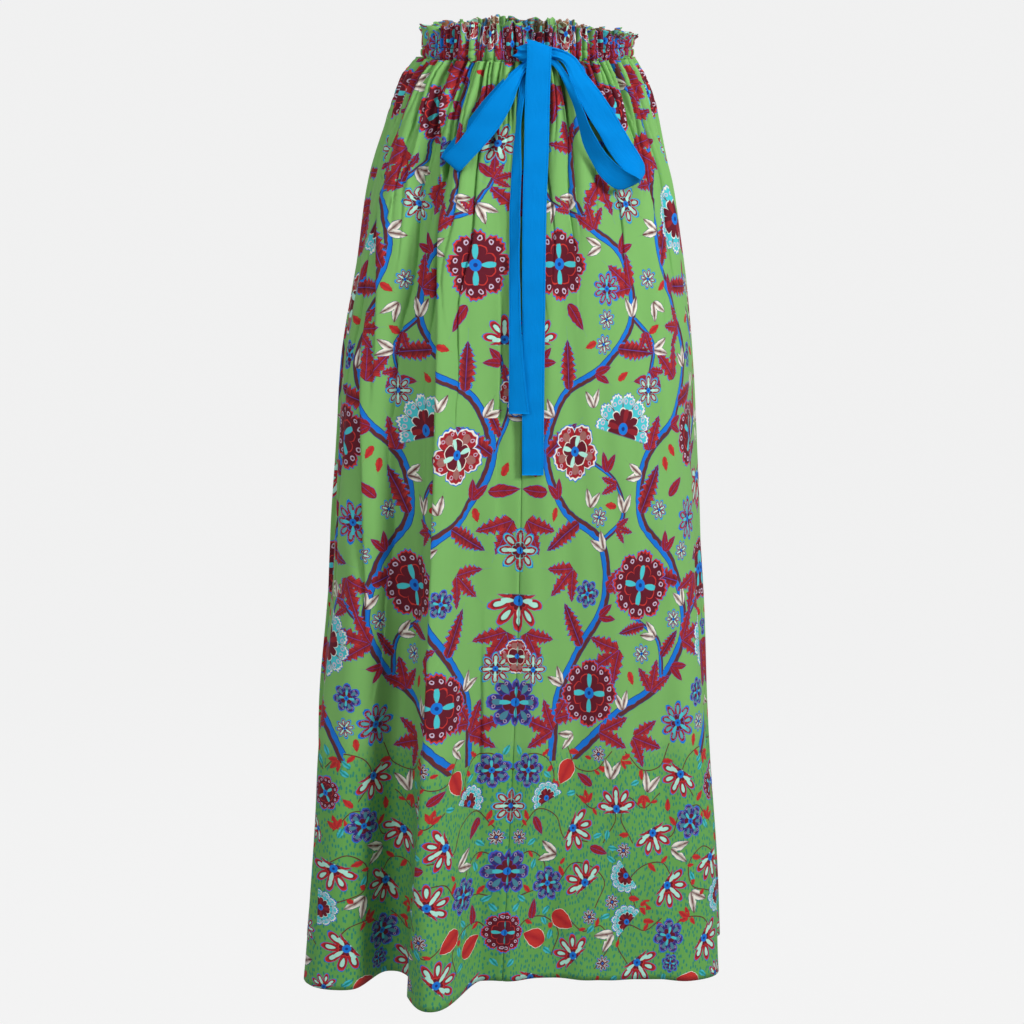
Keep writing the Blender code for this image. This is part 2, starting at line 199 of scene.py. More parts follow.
# The largest folds: place round the skirt at the top and at the hem, where it starts, half-widths
# there and at the hem, height at the hem, how far the crest leans over, and how much lower it hangs.
# The last one, behind the left side seam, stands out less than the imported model's, so that the outline
# there runs straight down.
FOLD_COLUMNS = ("top", "hem", "start", "narrow", "wide", "proud", "lean", "low")
FOLDS = (
    (-0.085, -0.051, 0.10, 0.022, 0.043, 0.064, -0.14, 0.008),
    (-0.120, -0.100, 0.08, 0.020, 0.034, -0.026, 0.00, 0.000),
    (-0.160, -0.146, 0.20, 0.030, 0.058, 0.030, 0.15, 0.004),
    (-0.205, -0.200, 0.25, 0.030, 0.050, -0.016, 0.00, 0.000),
    (0.075, 0.036, 0.14, 0.030, 0.050, -0.010, 0.00, 0.000),
    (0.170, 0.168, 0.30, 0.030, 0.050, 0.012, 0.10, 0.002),
    (0.215, 0.222, 0.20, 0.025, 0.050, -0.016, 0.00, 0.000),
    (0.262, 0.276, 0.16, 0.025, 0.060, 0.022, -0.10, 0.003),
    (0.315, 0.327, 0.22, 0.025, 0.050, -0.018, 0.00, 0.000),
    (0.365, 0.383, 0.12, 0.028, 0.062, 0.038, 0.15, 0.005),
    (0.430, 0.440, 0.20, 0.025, 0.055, -0.014, 0.00, 0.000),
    (0.490, 0.498, 0.15, 0.028, 0.060, 0.034, 0.10, 0.004),
    (0.545, 0.556, 0.24, 0.025, 0.050, -0.018, 0.00, 0.000),
    (0.605, 0.616, 0.12, 0.028, 0.060, 0.036, -0.20, 0.005),
    (0.670, 0.674, 0.20, 0.025, 0.050, -0.016, 0.00, 0.000),
    (0.725, 0.736, 0.15, 0.028, 0.056, 0.015, -0.10, 0.003),
)

# Gathers, from wide ones that run far down to fine ones just under the casing: how many round the
# skirt, height, shortest and longest reach, and seed
GATHERS = (
    (25, 0.0095, 0.14, 0.48, 3),
    (47, 0.0076, 0.07, 0.28, 5),
    (88, 0.0062, 0.03, 0.16, 8),
)
GATHER_CREASE = 0.0015   # half-width of the crease between two gathers
GATHER_SWELL = 0.018     # the gathers open out to full height over this drop
VALLEY = 0.45            # depth of that crease for each metre of the ridges' height
VALLEY_MORE = 0.65       # how much deeper it is right under the casing
VALLEY_FADE = 0.05

# Where the gathers run further down the skirt or less far: place, half-width and share more
REACH_CHANGES = (
    (-0.15, 0.06, 0.9),
    (0.13, 0.07, -0.35),
)

# Tucks, where a fold laps over the cloth beside it and cuts the print. side is -1 if it laps to the
# left and 1 to the right. Each is followed by its line down the skirt: drop, place round the skirt and
# height of the step.
TUCKS = (
    (-1, 0.030, 0.016, (
        (0.030, -0.1300, 0.0000), (0.055, -0.1150, 0.0050), (0.085, -0.1035, 0.0070),
        (0.115, -0.0955, 0.0085), (0.175, -0.0865, 0.0100), (0.250, -0.0780, 0.0115),
        (0.370, -0.0725, 0.0120), (0.560, -0.0690, 0.0125), (0.840, -0.0690, 0.0110),
        (0.990, -0.0740, 0.0080))),
    (-1, 0.026, 0.014, (
        (0.230, -0.1700, 0.0000), (0.300, -0.1600, 0.0050), (0.400, -0.1490, 0.0065),
        (0.520, -0.1410, 0.0050), (0.640, -0.1360, 0.0000))),
    (1, 0.016, 0.012, (
        (0.150, -0.0300, 0.0000), (0.260, -0.0245, 0.0024), (0.400, -0.0235, 0.0026),
        (0.520, -0.0230, 0.0000))),
    (-1, 0.018, 0.012, (
        (0.560, -0.0320, 0.0000), (0.640, -0.0300, 0.0024), (0.720, -0.0275, 0.0022),
        (0.820, -0.0260, 0.0000))),
    (-1, 0.016, 0.010, (
        (0.055, -0.2150, 0.0000), (0.095, -0.1950, 0.0055), (0.150, -0.1680, 0.0080),
        (0.210, -0.1530, 0.0080), (0.280, -0.1450, 0.0055), (0.370, -0.1430, 0.0000))),
    (1, 0.024, 0.014, (
        (0.110, 0.2640, 0.0000), (0.250, 0.2700, 0.0040), (0.600, 0.2800, 0.0050),
        (0.990, 0.2860, 0.0040))),
    (-1, 0.028, 0.016, (
        (0.090, 0.3500, 0.0000), (0.240, 0.3560, 0.0050), (0.600, 0.3660, 0.0065),
        (0.990, 0.3720, 0.0060))),
    (1, 0.026, 0.014, (
        (0.120, 0.4960, 0.0000), (0.300, 0.5010, 0.0045), (0.640, 0.5080, 0.0060),
        (0.990, 0.5120, 0.0050))),
    (-1, 0.026, 0.016, (
        (0.080, 0.5920, 0.0000), (0.260, 0.5980, 0.0050), (0.620, 0.6040, 0.0060),
        (0.990, 0.6080, 0.0050))),
    (1, 0.022, 0.014, (
        (0.140, 0.7280, 0.0000), (0.320, 0.7330, 0.0035), (0.700, 0.7400, 0.0045),
        (0.990, 0.7430, 0.0040))),
)

TUCK_EDGE = 0.0012       # half-width of the step itself
TUCK_LAP = 0.95          # how far the fold laps over, for each metre of step
TUCK_LAP_WIDTH = 0.012   # the lap dies away over this width

# Creases: place at the upper and lower end, drop of each end, half-width and depth (a soft trough;
# below 0 a ridge)
CREASES = (
    (-0.1300, -0.1180, 0.030, 0.330, 0.0060, 0.0048),
    (-0.1480, -0.1330, 0.050, 0.300, 0.0050, 0.0039),
    (-0.1180, -0.1060, 0.020, 0.240, 0.0045, 0.0039),
    (-0.0900, -0.0830, 0.015, 0.160, 0.0040, 0.0036),
    (-0.0620, -0.0560, 0.020, 0.230, 0.0060, 0.0027),
    (-0.0400, -0.0400, 0.015, 0.140, 0.0040, 0.0030),
    (-0.1750, -0.1600, 0.120, 0.420, 0.0080, 0.0036),
    (-0.1860, -0.1720, 0.350, 0.760, 0.0110, 0.0039),
    (-0.1640, -0.1560, 0.500, 0.900, 0.0100, 0.0036),
    (-0.1180, -0.1120, 0.380, 0.740, 0.0100, 0.0033),
    (-0.1060, -0.1020, 0.560, 0.960, 0.0080, 0.0033),
    (-0.0560, -0.0480, 0.400, 0.620, 0.0090, -0.0018),
    (-0.0120, -0.0180, 0.480, 0.760, 0.0100, 0.0018),
    (0.0260, 0.0200, 0.480, 0.720, 0.0100, 0.0021),
    (0.0420, 0.0300, 0.180, 0.480, 0.0080, 0.0030),
    (0.0600, 0.0540, 0.015, 0.150, 0.0045, 0.0033),
    (0.0760, 0.0640, 0.030, 0.260, 0.0060, 0.0033),
    (0.0960, 0.0860, 0.015, 0.110, 0.0045, 0.0027),
    (0.0950, 0.0880, 0.420, 0.760, 0.0120, 0.0018),
    (0.1180, 0.1100, 0.020, 0.150, 0.0050, 0.0027),
    (0.1360, 0.1280, 0.520, 0.900, 0.0120, 0.0018),
    (0.1500, 0.1420, 0.025, 0.200, 0.0060, 0.0030),
    (0.1780, 0.1680, 0.100, 0.460, 0.0090, 0.0030),
    (0.1980, 0.1900, 0.300, 0.800, 0.0120, 0.0030),
    (0.2180, 0.2160, 0.030, 0.260, 0.0060, 0.0039),
    (0.2900, 0.2980, 0.040, 0.380, 0.0070, 0.0042),
    (0.3240, 0.3300, 0.020, 0.240, 0.0050, 0.0039),
    (0.3420, 0.3500, 0.300, 0.820, 0.0110, 0.0036),
    (0.4000, 0.4080, 0.050, 0.420, 0.0080, 0.0039),
    (0.4280, 0.4300, 0.020, 0.200, 0.0050, 0.0039),
    (0.4620, 0.4700, 0.200, 0.640, 0.0100, 0.0033),
    (0.5300, 0.5360, 0.030, 0.360, 0.0070, 0.0039),
    (0.5620, 0.5700, 0.400, 0.900, 0.0110, 0.0033),
    (0.6320, 0.6360, 0.020, 0.300, 0.0060, 0.0039),
    (0.6560, 0.6600, 0.340, 0.880, 0.0110, 0.0036),
    (0.6960, 0.7000, 0.050, 0.420, 0.0080, 0.0036),
    (0.7700, 0.7660, 0.200, 0.620, 0.0090, 0.0033),
)


def smooth_column(at, knots, values):
    """Read a table's column between its rows, on a cubic whose slope at a row is its neighbours' chord."""
    at = np.asarray(at, dtype=float)
    knots = np.asarray(knots, dtype=float)
    values = np.asarray(values, dtype=float)
    slopes = np.gradient(values, knots)
    row = np.clip(np.searchsorted(knots, at) - 1, 0, len(knots) - 2)
    step = knots[row + 1] - knots[row]
    t = np.clip((at - knots[row]) / step, 0.0, 1.0)
    from_row = values[row] * (2 * t**3 - 3 * t**2 + 1) + slopes[row] * step * (t**3 - 2 * t**2 + t)
    to_row = values[row + 1] * (3 * t**2 - 2 * t**3) + slopes[row + 1] * step * (t**3 - t**2)
    return from_row + to_row


def ease(x):
    """From 0 to 1 with level ends."""
    x = np.clip(x, 0.0, 1.0)
    return x * x * (3.0 - 2.0 * x)


def section_sizes(drops):
    """The sizes of the level section at each drop, by column name."""
    return {
        name: smooth_column(drops, SECTIONS[:, 0], SECTIONS[:, column])
        for column, name in enumerate(SECTION_COLUMNS)
    }


def half_outlines(sizes, side, points=180):
    """Half of each level section, centre front to centre back: two quarters of superellipses that
    meet at the widest point. side is 1 for the right half and -1 for the left."""
    turn = np.linspace(0.0, np.pi, points)[None, :]
    size = {name: np.atleast_1d(value)[:, None] for name, value in sizes.items()}
    before = turn <= np.pi / 2
    power = 2.0 / np.where(before, size["front_square"], size["back_square"])
    reach = (size["right"] if side > 0 else -size["left"]) - side * size["seam"]
    across = size["seam"] + side * reach * np.abs(np.sin(turn)) ** power
    end = np.where(before, size["front"], size["back"])
    deep = size["widest"] + (end - size["widest"]) * np.abs(np.cos(turn)) ** power
    return across, deep


def smooth_form(around, drops):
    """The skirt without folds: for each drop and share of the round, the point, the outward direction,
    the direction along the round and the length of the whole round. Shares are even in length within
    each half."""
    folded = (np.asarray(around) + 0.5) % 1.0 - 0.5
    drops = np.asarray(drops, dtype=float)
    points = np.zeros((len(drops), len(folded), 3))
    along = np.zeros_like(points)
    rounds = np.zeros(len(drops))
    nudge = 0.0005
    sizes = section_sizes(drops)
    for side in (-1, 1):
        across, deep = half_outlines(sizes, side)
        lengths = np.cumsum(np.hypot(np.diff(across, axis=1), np.diff(deep, axis=1)), axis=1)
        lengths = np.concatenate((np.zeros((len(drops), 1)), lengths), axis=1)
        rounds += lengths[:, -1]
        here = folded * side >= 0
        for number in range(len(drops)):
            place = np.abs(folded[here]) * 2.0 * lengths[number, -1]
            for axis, line in enumerate((across[number], deep[number])):
                points[number, here, axis] = np.interp(place, lengths[number], line)
                ahead = np.interp(place + nudge, lengths[number], line)
                behind = np.interp(place - nudge, lengths[number], line)
                along[number, here, axis] = side * (ahead - behind)
    along /= np.linalg.norm(along, axis=2, keepdims=True)
    outward = np.stack([along[..., 1], -along[..., 0], np.zeros_like(along[..., 0])], axis=2)
    points[..., 2] = -drops[:, None]
    return points, outward, along, rounds


def round_distance(around, place):
    """The way round from a place, as a share from -0.5 to 0.5."""
    return (around - place + 0.5) % 1.0 - 0.5


def gather_ridges(around, drops, layer, down=True):
    """One layer of gathers: rounded ridges between sharp valleys, uneven in width and height, each
    fading with its own reach. The valleys are deepest right under the casing. With down False, for
    the casing and the frill, nothing fades."""
    count, height, short, long, seed = layer
    rng = np.random.default_rng(seed)
    widths = rng.uniform(0.5, 1.5, count)
    edges = np.concatenate(([0.0], np.cumsum(widths))) / widths.sum()
    heights = height * rng.uniform(0.6, 1.3, count) * (widths / widths.mean()) ** 0.6
    middles = (edges[1:] + edges[:-1]) / 2
    longer = np.ones(count)
    for place, half_width, more in REACH_CHANGES:
        longer += more * np.exp(-((round_distance(middles, place) / half_width) ** 2))
    reaches = rng.uniform(short, long, count) * longer

    # the ridge that each place is on, when the ridges wander, and how far it is from its middle
    drop = np.asarray(drops, dtype=float)[:, None]
    warp = 0.0035 * np.sin(2 * np.pi * (4 * around[None, :] + 3.1 * drop + 0.2 * seed))
    warp += 0.0018 * np.sin(2 * np.pi * (11 * around[None, :] - 7.3 * drop + 0.7))
    place = (around[None, :] + warp) % 1.0
    j = np.clip(np.searchsorted(edges, place.ravel(), side="right").reshape(place.shape) - 1, 0, count - 1)
    q = 2.0 * (place - edges[j]) / (edges[j + 1] - edges[j]) - 1.0
    spent = np.clip(drop / reaches[j], 0.0, 1.0) if down else 0.0 * j
    arc = np.clip(1.0 - np.abs(q) ** 2.3, 0.0, 1.0)
    half = (edges[j + 1] - edges[j]) / 2 * TOP_ROUND
    valley = np.exp(-(((1.0 - np.abs(q)) * half / GATHER_CREASE) ** 2))
    fade = (1.0 - spent) ** 1.2
    deep = VALLEY + VALLEY_MORE * np.exp(-drop / VALLEY_FADE) if down else VALLEY
    return fade * (heights[j] * arc ** (0.8 + 1.2 * spent) - 0.60 * height - deep * height * valley)


def all_gathers(around, drops):
    """All layers of gathers, swelling out just under the casing."""
    drop = np.asarray(drops, dtype=float)[:, None]
    swell = 0.8 + 0.2 * ease((drop - CASING_HALF) / GATHER_SWELL)
    return swell * sum(gather_ridges(around, drops, layer) for layer in GATHERS)


# Slow waves of the hanging cloth: how many round the skirt, height, turns for each metre of drop, start
DRIFT_WAVES = (
    (9, 0.0016, 0.9, 0.1),
    (15, 0.0012, -1.4, 0.4),
    (24, 0.0008, 1.9, 0.8),
    (37, 0.0005, -2.6, 0.3),
)
DRIFT_SWELL = 0.12       # they reach their full height at this drop


def drift(around, drops):
    """Slow unevenness of hanging cloth: cosines round the skirt that wander with the drop."""
    drop = np.asarray(drops, dtype=float)[:, None]
    place = np.asarray(around)[None, :]
    total = np.zeros((drop.shape[0], place.shape[1]))
    for waves, size, bend, start in DRIFT_WAVES:
        wander = 0.25 * np.sin(5.0 * drop * bend)
        total += size * np.cos(2 * np.pi * (waves * place + bend * drop + start + wander))
    return total * ease(drop / DRIFT_SWELL)


def fold_moves(around, drops, rounds):
    """Outward, sideways and downward moves of the largest folds."""
    out = np.zeros((len(drops), len(around)))
    slide = np.zeros_like(out)
    lower = np.zeros_like(out)
    for row in FOLDS:
        fold = dict(zip(FOLD_COLUMNS, row))
        run = np.clip((drops - fold["start"]) / (LENGTH - fold["start"]), 0.0, 1.0)
        middle = fold["top"] + (fold["hem"] - fold["top"]) * run
        half_width = fold["narrow"] + (fold["wide"] - fold["narrow"]) * run
        distance = round_distance(around[None, :], middle[:, None])
        q = np.clip(distance * rounds[:, None] / half_width[:, None], -1.0, 1.0)
        arch = 0.5 + 0.5 * np.cos(np.pi * q)
        ridge = arch * (1.0 + CREST_FULLNESS * (1.0 - arch))
        height = fold["proud"] * run[:, None] ** 1.15 * ridge
        out += height
        slide += fold["lean"] * height
        lower += fold["low"] * run[:, None] ** 3 * ridge
    return out, slide, lower


def tuck_moves(around, drops, rounds):
    """Outward and sideways moves of the tucks: the cloth on one side of the line steps out and laps
    over the other side, which sinks."""
    out = np.zeros((len(drops), len(around)))
    slide = np.zeros_like(out)
    for side, proud_width, sunk_width, line in TUCKS:
        line = np.array(line)
        middle = smooth_column(drops, line[:, 0], line[:, 1])
        step = np.interp(drops, line[:, 0], line[:, 2], left=0.0, right=0.0)[:, None]
        x = -side * round_distance(around[None, :], middle[:, None]) * rounds[:, None]
        turn = x / np.sqrt(x**2 + TUCK_EDGE**2)
        width = np.where(x > 0, proud_width, sunk_width)
        out += step * turn * np.exp(-np.abs(x) / width)
        slide += side * TUCK_LAP * step * (0.5 + 0.5 * turn) * np.exp(-np.abs(x) / TUCK_LAP_WIDTH)
    return out, slide


def crease_moves(around, drops, rounds):
    """Outward moves of the creases: a soft trough with level ends, deepest near its upper end."""
    out = np.zeros((len(drops), len(around)))
    for top, low, start, end, half_width, depth in CREASES:
        run = (drops - start) / (end - start)
        middle = top + (low - top) * np.clip(run, 0.0, 1.0)
        deep = depth * ease(run / 0.15) * np.clip(1.0 - run, 0.0, 1.0) ** 0.9
        q = round_distance(around[None, :], middle[:, None]) * rounds[:, None] / half_width
        out -= deep[:, None] * np.exp(-(q**2)) * (1.0 - 0.3 * q)
    return out


def seam_moves(around, drops, rounds):
    """A shallow groove along each sewn seam."""
    out = np.zeros((len(drops), len(around)))
    for place in (-SIDE_SEAM, 0.0, SIDE_SEAM, 0.5):
        q = round_distance(around[None, :], place) * rounds[:, None] / SEAM_GROOVE_HALF
        out -= SEAM_GROOVE * np.exp(-(q**2))
    return out


def skirt_surface(around, drops):
    """The cloth: the smooth form moved out, sideways and down by folds, tucks, creases and gathers."""
    around = np.asarray(around, dtype=float)
    drops = np.asarray(drops, dtype=float)
    points, outward, along, rounds = smooth_form(around, drops)
    out, slide, lower = fold_moves(around, drops, rounds)
    tuck_out, tuck_slide = tuck_moves(around, drops, rounds)
    out = out + tuck_out + crease_moves(around, drops, rounds) + seam_moves(around, drops, rounds)
    out = out + all_gathers(around, drops) + drift(around, drops)
    points = points + outward * out[..., None] + along * (slide + tuck_slide)[..., None]
    points[..., 2] -= lower
    return points


def even_columns(points, columns):
    """Points at even steps of cloth along each row, so that a column is one line of the cut cloth."""
    result = np.zeros((points.shape[0], columns + 1, 3))
    share = np.linspace(0.0, 1.0, columns + 1)
    for number, row in enumerate(points):
        length = np.concatenate(([0.0], np.cumsum(np.linalg.norm(np.diff(row, axis=0), axis=1))))
        for axis in range(3):
            result[number, :, axis] = np.interp(share * length[-1], length, row[:, axis])
    return result


def cloth_width(drops):
    """The flat width of the whole round of cloth at each drop: a trapezoid."""
    return TOP_ROUND + (HEM_ROUND - TOP_ROUND) * np.clip(drops / LENGTH, 0.0, 1.0)


# The print: a flowering vine in the manner of old block-printed cottons, mirrored about the middle of
# each panel, over a border of small sprigs at the hem. Its layout is drawn on the flat cloth, in metres:
# x from the mirror line to the side seam and y down from the waist.


def dye(red, green, blue):
    """A dye's linear colour from its screen values."""
    share = np.array((red, green, blue)) / 255.0
    return tuple(np.where(share < 0.04045, share / 12.92, ((share + 0.055) / 1.055) ** 2.4))


CRIMSON = dye(172, 34, 42)
SCARLET = dye(198, 52, 46)
MAROON = dye(98, 22, 38)
WINE = dye(140, 32, 42)
MID_BLUE = dye(16, 116, 212)
DEEP_BLUE = dye(22, 52, 130)
VIOLET = dye(92, 70, 168)
AQUA = dye(72, 196, 204)
PALE_AQUA = dye(176, 232, 214)
CREAM = dye(238, 232, 220)
BARK = dye(96, 44, 44)
GREEN = dye(120, 177, 98)
# the border's ground: partly the print's own deeper green, partly painted shade of the light falling off
# towards the hem
BORDER_GREEN_AND_SHADE = dye(96, 162, 80)
TEAL = dye(24, 128, 118)
FRESH_GREEN = dye(128, 186, 96)
WASHED_GREEN = dye(140, 190, 118)
LILAC = dye(206, 186, 208)

# Stems of the vine: half-width at the foot and at the tip, step between leaf sprays, spray length, and
# the points that the stem runs through
STEMS = (
    (0.0050, 0.0034, 0.080, 0.056, (
        (0.052, 0.735), (0.058, 0.668), (0.086, 0.620), (0.118, 0.570), (0.112, 0.505), (0.062, 0.470),
        (0.034, 0.415), (0.056, 0.350), (0.112, 0.318), (0.152, 0.268), (0.140, 0.205), (0.092, 0.165),
        (0.078, 0.108), (0.102, 0.050), (0.090, -0.040))),
    (0.0052, 0.0034, 0.078, 0.060, (
        (0.085, 0.735), (0.140, 0.690), (0.200, 0.655), (0.232, 0.595), (0.212, 0.530), (0.168, 0.480),
        (0.172, 0.420), (0.218, 0.372), (0.246, 0.315), (0.222, 0.258), (0.196, 0.200), (0.206, 0.140),
        (0.214, 0.080), (0.190, 0.010), (0.194, -0.040))),
    (0.0048, 0.0032, 0.074, 0.056, (
        (0.262, 0.730), (0.300, 0.670), (0.336, 0.610), (0.330, 0.545), (0.292, 0.500), (0.284, 0.440),
        (0.316, 0.392), (0.318, 0.330), (0.292, 0.280), (0.262, 0.236))),
    (0.0024, 0.0014, 0.046, 0.040, ((0.112, 0.505), (0.142, 0.478), (0.130, 0.440), (0.100, 0.420))),
    (0.0024, 0.0014, 0.050, 0.038, ((0.152, 0.268), (0.182, 0.300), (0.176, 0.336))),
    (0.0024, 0.0014, 0.050, 0.036, ((0.034, 0.415), (0.014, 0.360), (0.024, 0.310))),
    (0.0024, 0.0014, 0.050, 0.040, ((0.232, 0.595), (0.270, 0.570), (0.282, 0.600))),
    (0.0024, 0.0014, 0.046, 0.036, ((0.092, 0.165), (0.050, 0.150), (0.030, 0.120))),
    (0.0024, 0.0014, 0.050, 0.038, ((0.200, 0.655), (0.192, 0.610), (0.166, 0.590))),
    (0.0024, 0.0014, 0.050, 0.036, ((0.206, 0.140), (0.166, 0.118), (0.150, 0.080))),
)

# Flowers: petals, how pointed they are, how much of the disc is drawn (WHOLE, or HALF as a fan), and the
# dyes of petal, rim and heart
WHOLE = -1.3
HALF = -0.20
FLOWERS = {
    "rosette": (8, 0.0, WHOLE, MAROON, SCARLET, AQUA),
    "peony": (5, 0.15, WHOLE, CRIMSON, CREAM, PALE_AQUA),
    "star": (8, 0.8, WHOLE, CRIMSON, AQUA, PALE_AQUA),
    "frilly": (7, 0.4, WHOLE, DEEP_BLUE, VIOLET, AQUA),
    "lace_fan": (11, 0.0, HALF, AQUA, CREAM, WINE),
    "striped_fan": (9, 1.0, HALF, CRIMSON, SCARLET, PALE_AQUA),
    "daisy": (9, 0.7, WHOLE, CRIMSON, MID_BLUE, AQUA),
    "eye": (9, 0.9, WHOLE, CREAM, MAROON, BARK),
}

# Blooms of the vine: x, y, radius, turn in degrees and flower
BLOOMS = (
    (0.052, 0.212, 0.037, 0, "rosette"), (0.032, 0.088, 0.021, 20, "star"),
    (0.150, 0.058, 0.029, -60, "rosette"), (0.158, 0.152, 0.020, 40, "star"),
    (0.250, 0.172, 0.036, 160, "lace_fan"), (0.140, 0.385, 0.038, -75, "lace_fan"),
    (0.020, 0.290, 0.026, -90, "striped_fan"), (0.074, 0.408, 0.031, 15, "peony"),
    (0.176, 0.346, 0.017, 0, "star"), (0.262, 0.398, 0.036, 30, "rosette"),
    (0.168, 0.552, 0.038, 10, "rosette"), (0.000, 0.566, 0.034, 90, "striped_fan"),
    (0.246, 0.486, 0.023, 0, "daisy"), (0.286, 0.618, 0.035, 200, "lace_fan"),
    (0.100, 0.668, 0.037, 0, "rosette"), (0.022, 0.640, 0.018, 0, "star"),
    (0.222, 0.702, 0.023, 30, "daisy"), (0.366, 0.560, 0.034, 0, "rosette"),
    (0.340, 0.268, 0.034, 30, "peony"), (0.350, 0.458, 0.032, 120, "striped_fan"),
    (0.340, 0.700, 0.030, 0, "rosette"), (0.000, 0.676, 0.030, 0, "frilly"),
    (0.000, 0.512, 0.024, 0, "star"), (0.000, 0.626, 0.019, 0, "peony"),
    (0.000, 0.345, 0.026, 0, "peony"), (0.280, 0.042, 0.030, 0, "rosette"),
    (0.262, 0.100, 0.018, 0, "star"), (0.030, -0.012, 0.022, 0, "rosette"),
    (0.116, 0.238, 0.018, 0, "daisy"), (0.246, -0.030, 0.020, 0, "star"),
    (0.075, -0.022, 0.018, 20, "peony"), (0.118, -0.030, 0.017, 0, "peony"),
    (0.162, -0.014, 0.021, 0, "rosette"), (0.208, -0.008, 0.018, 0, "daisy"),
    (0.286, -0.020, 0.018, 0, "peony"), (0.000, -0.028, 0.017, 0, "daisy"),
    (0.000, 0.790, 0.020, 0, "star"), (0.000, 0.862, 0.027, 0, "frilly"),
    (0.000, 0.930, 0.023, 0, "rosette"),
)

# Leaves: half-width over length, teeth, bite of the teeth, and dyes of the body, the tips and the edge
LEAVES = {
    "red": (0.26, 5, 0.46, WINE, SCARLET, MID_BLUE),
    "fern": (0.22, 8, 0.40, MAROON, SCARLET, MID_BLUE),
    "single": (0.21, 4, 0.10, WINE, CRIMSON, VIOLET),
    "pale": (0.21, 2, 0.10, BARK, CREAM, DEEP_BLUE),
    "bud": (0.34, 1, 0.00, CRIMSON, SCARLET, CREAM),
    "small_red": (0.26, 2, 0.20, CRIMSON, SCARLET, MAROON),
    "teal": (0.26, 2, 0.20, TEAL, AQUA, MID_BLUE),
}

# Sprays listed one by one: x, y, turn in degrees of the middle leaf (0 is along +x, 90 is down), length,
# leaves
SPRAYS = (
    (0.002, 0.162, -90, 0.052, 3), (0.008, 0.480, 40, 0.044, 2), (0.186, 0.095, 30, 0.048, 3),
    (0.122, 0.120, 100, 0.048, 2), (0.012, 0.600, 60, 0.044, 3), (0.256, 0.545, 110, 0.044, 3),
    (0.300, 0.210, -50, 0.054, 3), (0.140, 0.620, 150, 0.048, 3), (0.052, 0.708, 200, 0.044, 3),
    (0.160, 0.716, 20, 0.042, 3), (0.372, 0.640, 80, 0.054, 3), (0.380, 0.500, 260, 0.052, 3),
    (0.236, 0.024, 160, 0.040, 3), (0.118, 0.020, 30, 0.038, 3), (0.330, 0.160, 120, 0.052, 3),
    (0.058, 0.030, 100, 0.040, 3), (0.216, 0.336, 250, 0.044, 2), (0.052, 0.004, -90, 0.030, 3),
    (0.136, 0.006, -80, 0.034, 3), (0.186, 0.010, -100, 0.030, 3), (0.232, 0.002, -80, 0.032, 3),
    (0.262, 0.010, -90, 0.030, 2), (0.098, 0.008, -95, 0.030, 2),
)

# The border's tendrils within one step, mirrored from step to step, with small leaves along them: x and
# y below the border's top
BORDER_TOP = 0.722
BORDER_STEP = 0.1415
BORDER_STEM_HALF = 0.0006
BORDER_LEAF_GAP = 0.017
BORDER_STEMS = (
    ((0.006, 0.024), (0.022, 0.010), (0.046, 0.016), (0.056, 0.038), (0.044, 0.056)),
    ((0.074, 0.006), (0.086, 0.028), (0.110, 0.030), (0.128, 0.014)),
    ((0.020, 0.086), (0.034, 0.072), (0.060, 0.080), (0.072, 0.104), (0.096, 0.108)),
    ((0.090, 0.060), (0.108, 0.072), (0.128, 0.060), (0.138, 0.082), (0.126, 0.104)),
    ((0.006, 0.128), (0.028, 0.118), (0.048, 0.134), (0.044, 0.158), (0.022, 0.166)),
    ((0.070, 0.150), (0.082, 0.134), (0.108, 0.136), (0.126, 0.154), (0.118, 0.176)),
    ((0.012, 0.212), (0.026, 0.196), (0.052, 0.194), (0.070, 0.210), (0.064, 0.234)),
    ((0.084, 0.196), (0.102, 0.208), (0.124, 0.202), (0.136, 0.222), (0.122, 0.246)),
)

# What fills the cloth that is left bare, largest first, in the vine's part and in the border: kind,
# its reach, how many places are tried, and its flower or leaf
VINE_FILL = (
    ("spray", 0.0220, 160, "red"), ("leaf", 0.0170, 120, "single"), ("bloom", 0.0160, 200, "frilly"),
    ("bloom", 0.0110, 240, "star"), ("pair", 0.0120, 320, "pale"), ("leaf", 0.0140, 200, "single"),
    ("leaf", 0.0080, 300, "small_red"),
)
BORDER_FILL = (
    ("bloom", 0.0270, 260, "striped_fan"), ("bloom", 0.0200, 120, "frilly"),
    ("bloom", 0.0200, 120, "lace_fan"), ("bloom", 0.0190, 120, "rosette"), ("leaf", 0.0150, 90, "bud"),
    ("pair", 0.0140, 500, "pale"), ("bloom", 0.0150, 160, "striped_fan"),
    ("leaf", 0.0120, 260, "single"), ("bloom", 0.0090, 500, "eye"), ("bloom", 0.0110, 700, "frilly"),
    ("spray", 0.0080, 400, "small_red"), ("leaf", 0.0070, 300, "small_red"),
    ("leaf", 0.0060, 1600, "teal"), ("leaf", 0.0045, 700, "small_red"),
)
FLAT_WIDTH = 0.430
FLAT_TOP = -0.045
RASTER = 0.002
VINE_STEP = 0.003        # steps along the stems
BORDER_LINE_STEP = 0.002
BORDER_MARGIN = 0.004    # the fill changes this far above the border's top
PLACES_AT_ONCE = 4000    # how many places are compared with all the stems' points in one step
STEM_NEAR = 0.006        # a face further than this from a stem holds none of it
BLOOM_NEAR = 1.35        # the same for a bloom, in radii
LEAF_NEAR = 1.45         # and for a leaf, in its half-sizes


def smooth_line(points, step):
    """A smooth line through points, read at even steps: its points, directions and distances along."""
    points = np.array(points)
    run = np.concatenate(([0.0], np.cumsum(np.linalg.norm(np.diff(points, axis=0), axis=1))))
    at = np.arange(0.0, run[-1], step)
    line = np.stack([smooth_column(at, run, points[:, axis]) for axis in (0, 1)], axis=1)
    ways = np.gradient(line, axis=0)
    ways /= np.linalg.norm(ways, axis=1, keepdims=True)
    return line, ways, at


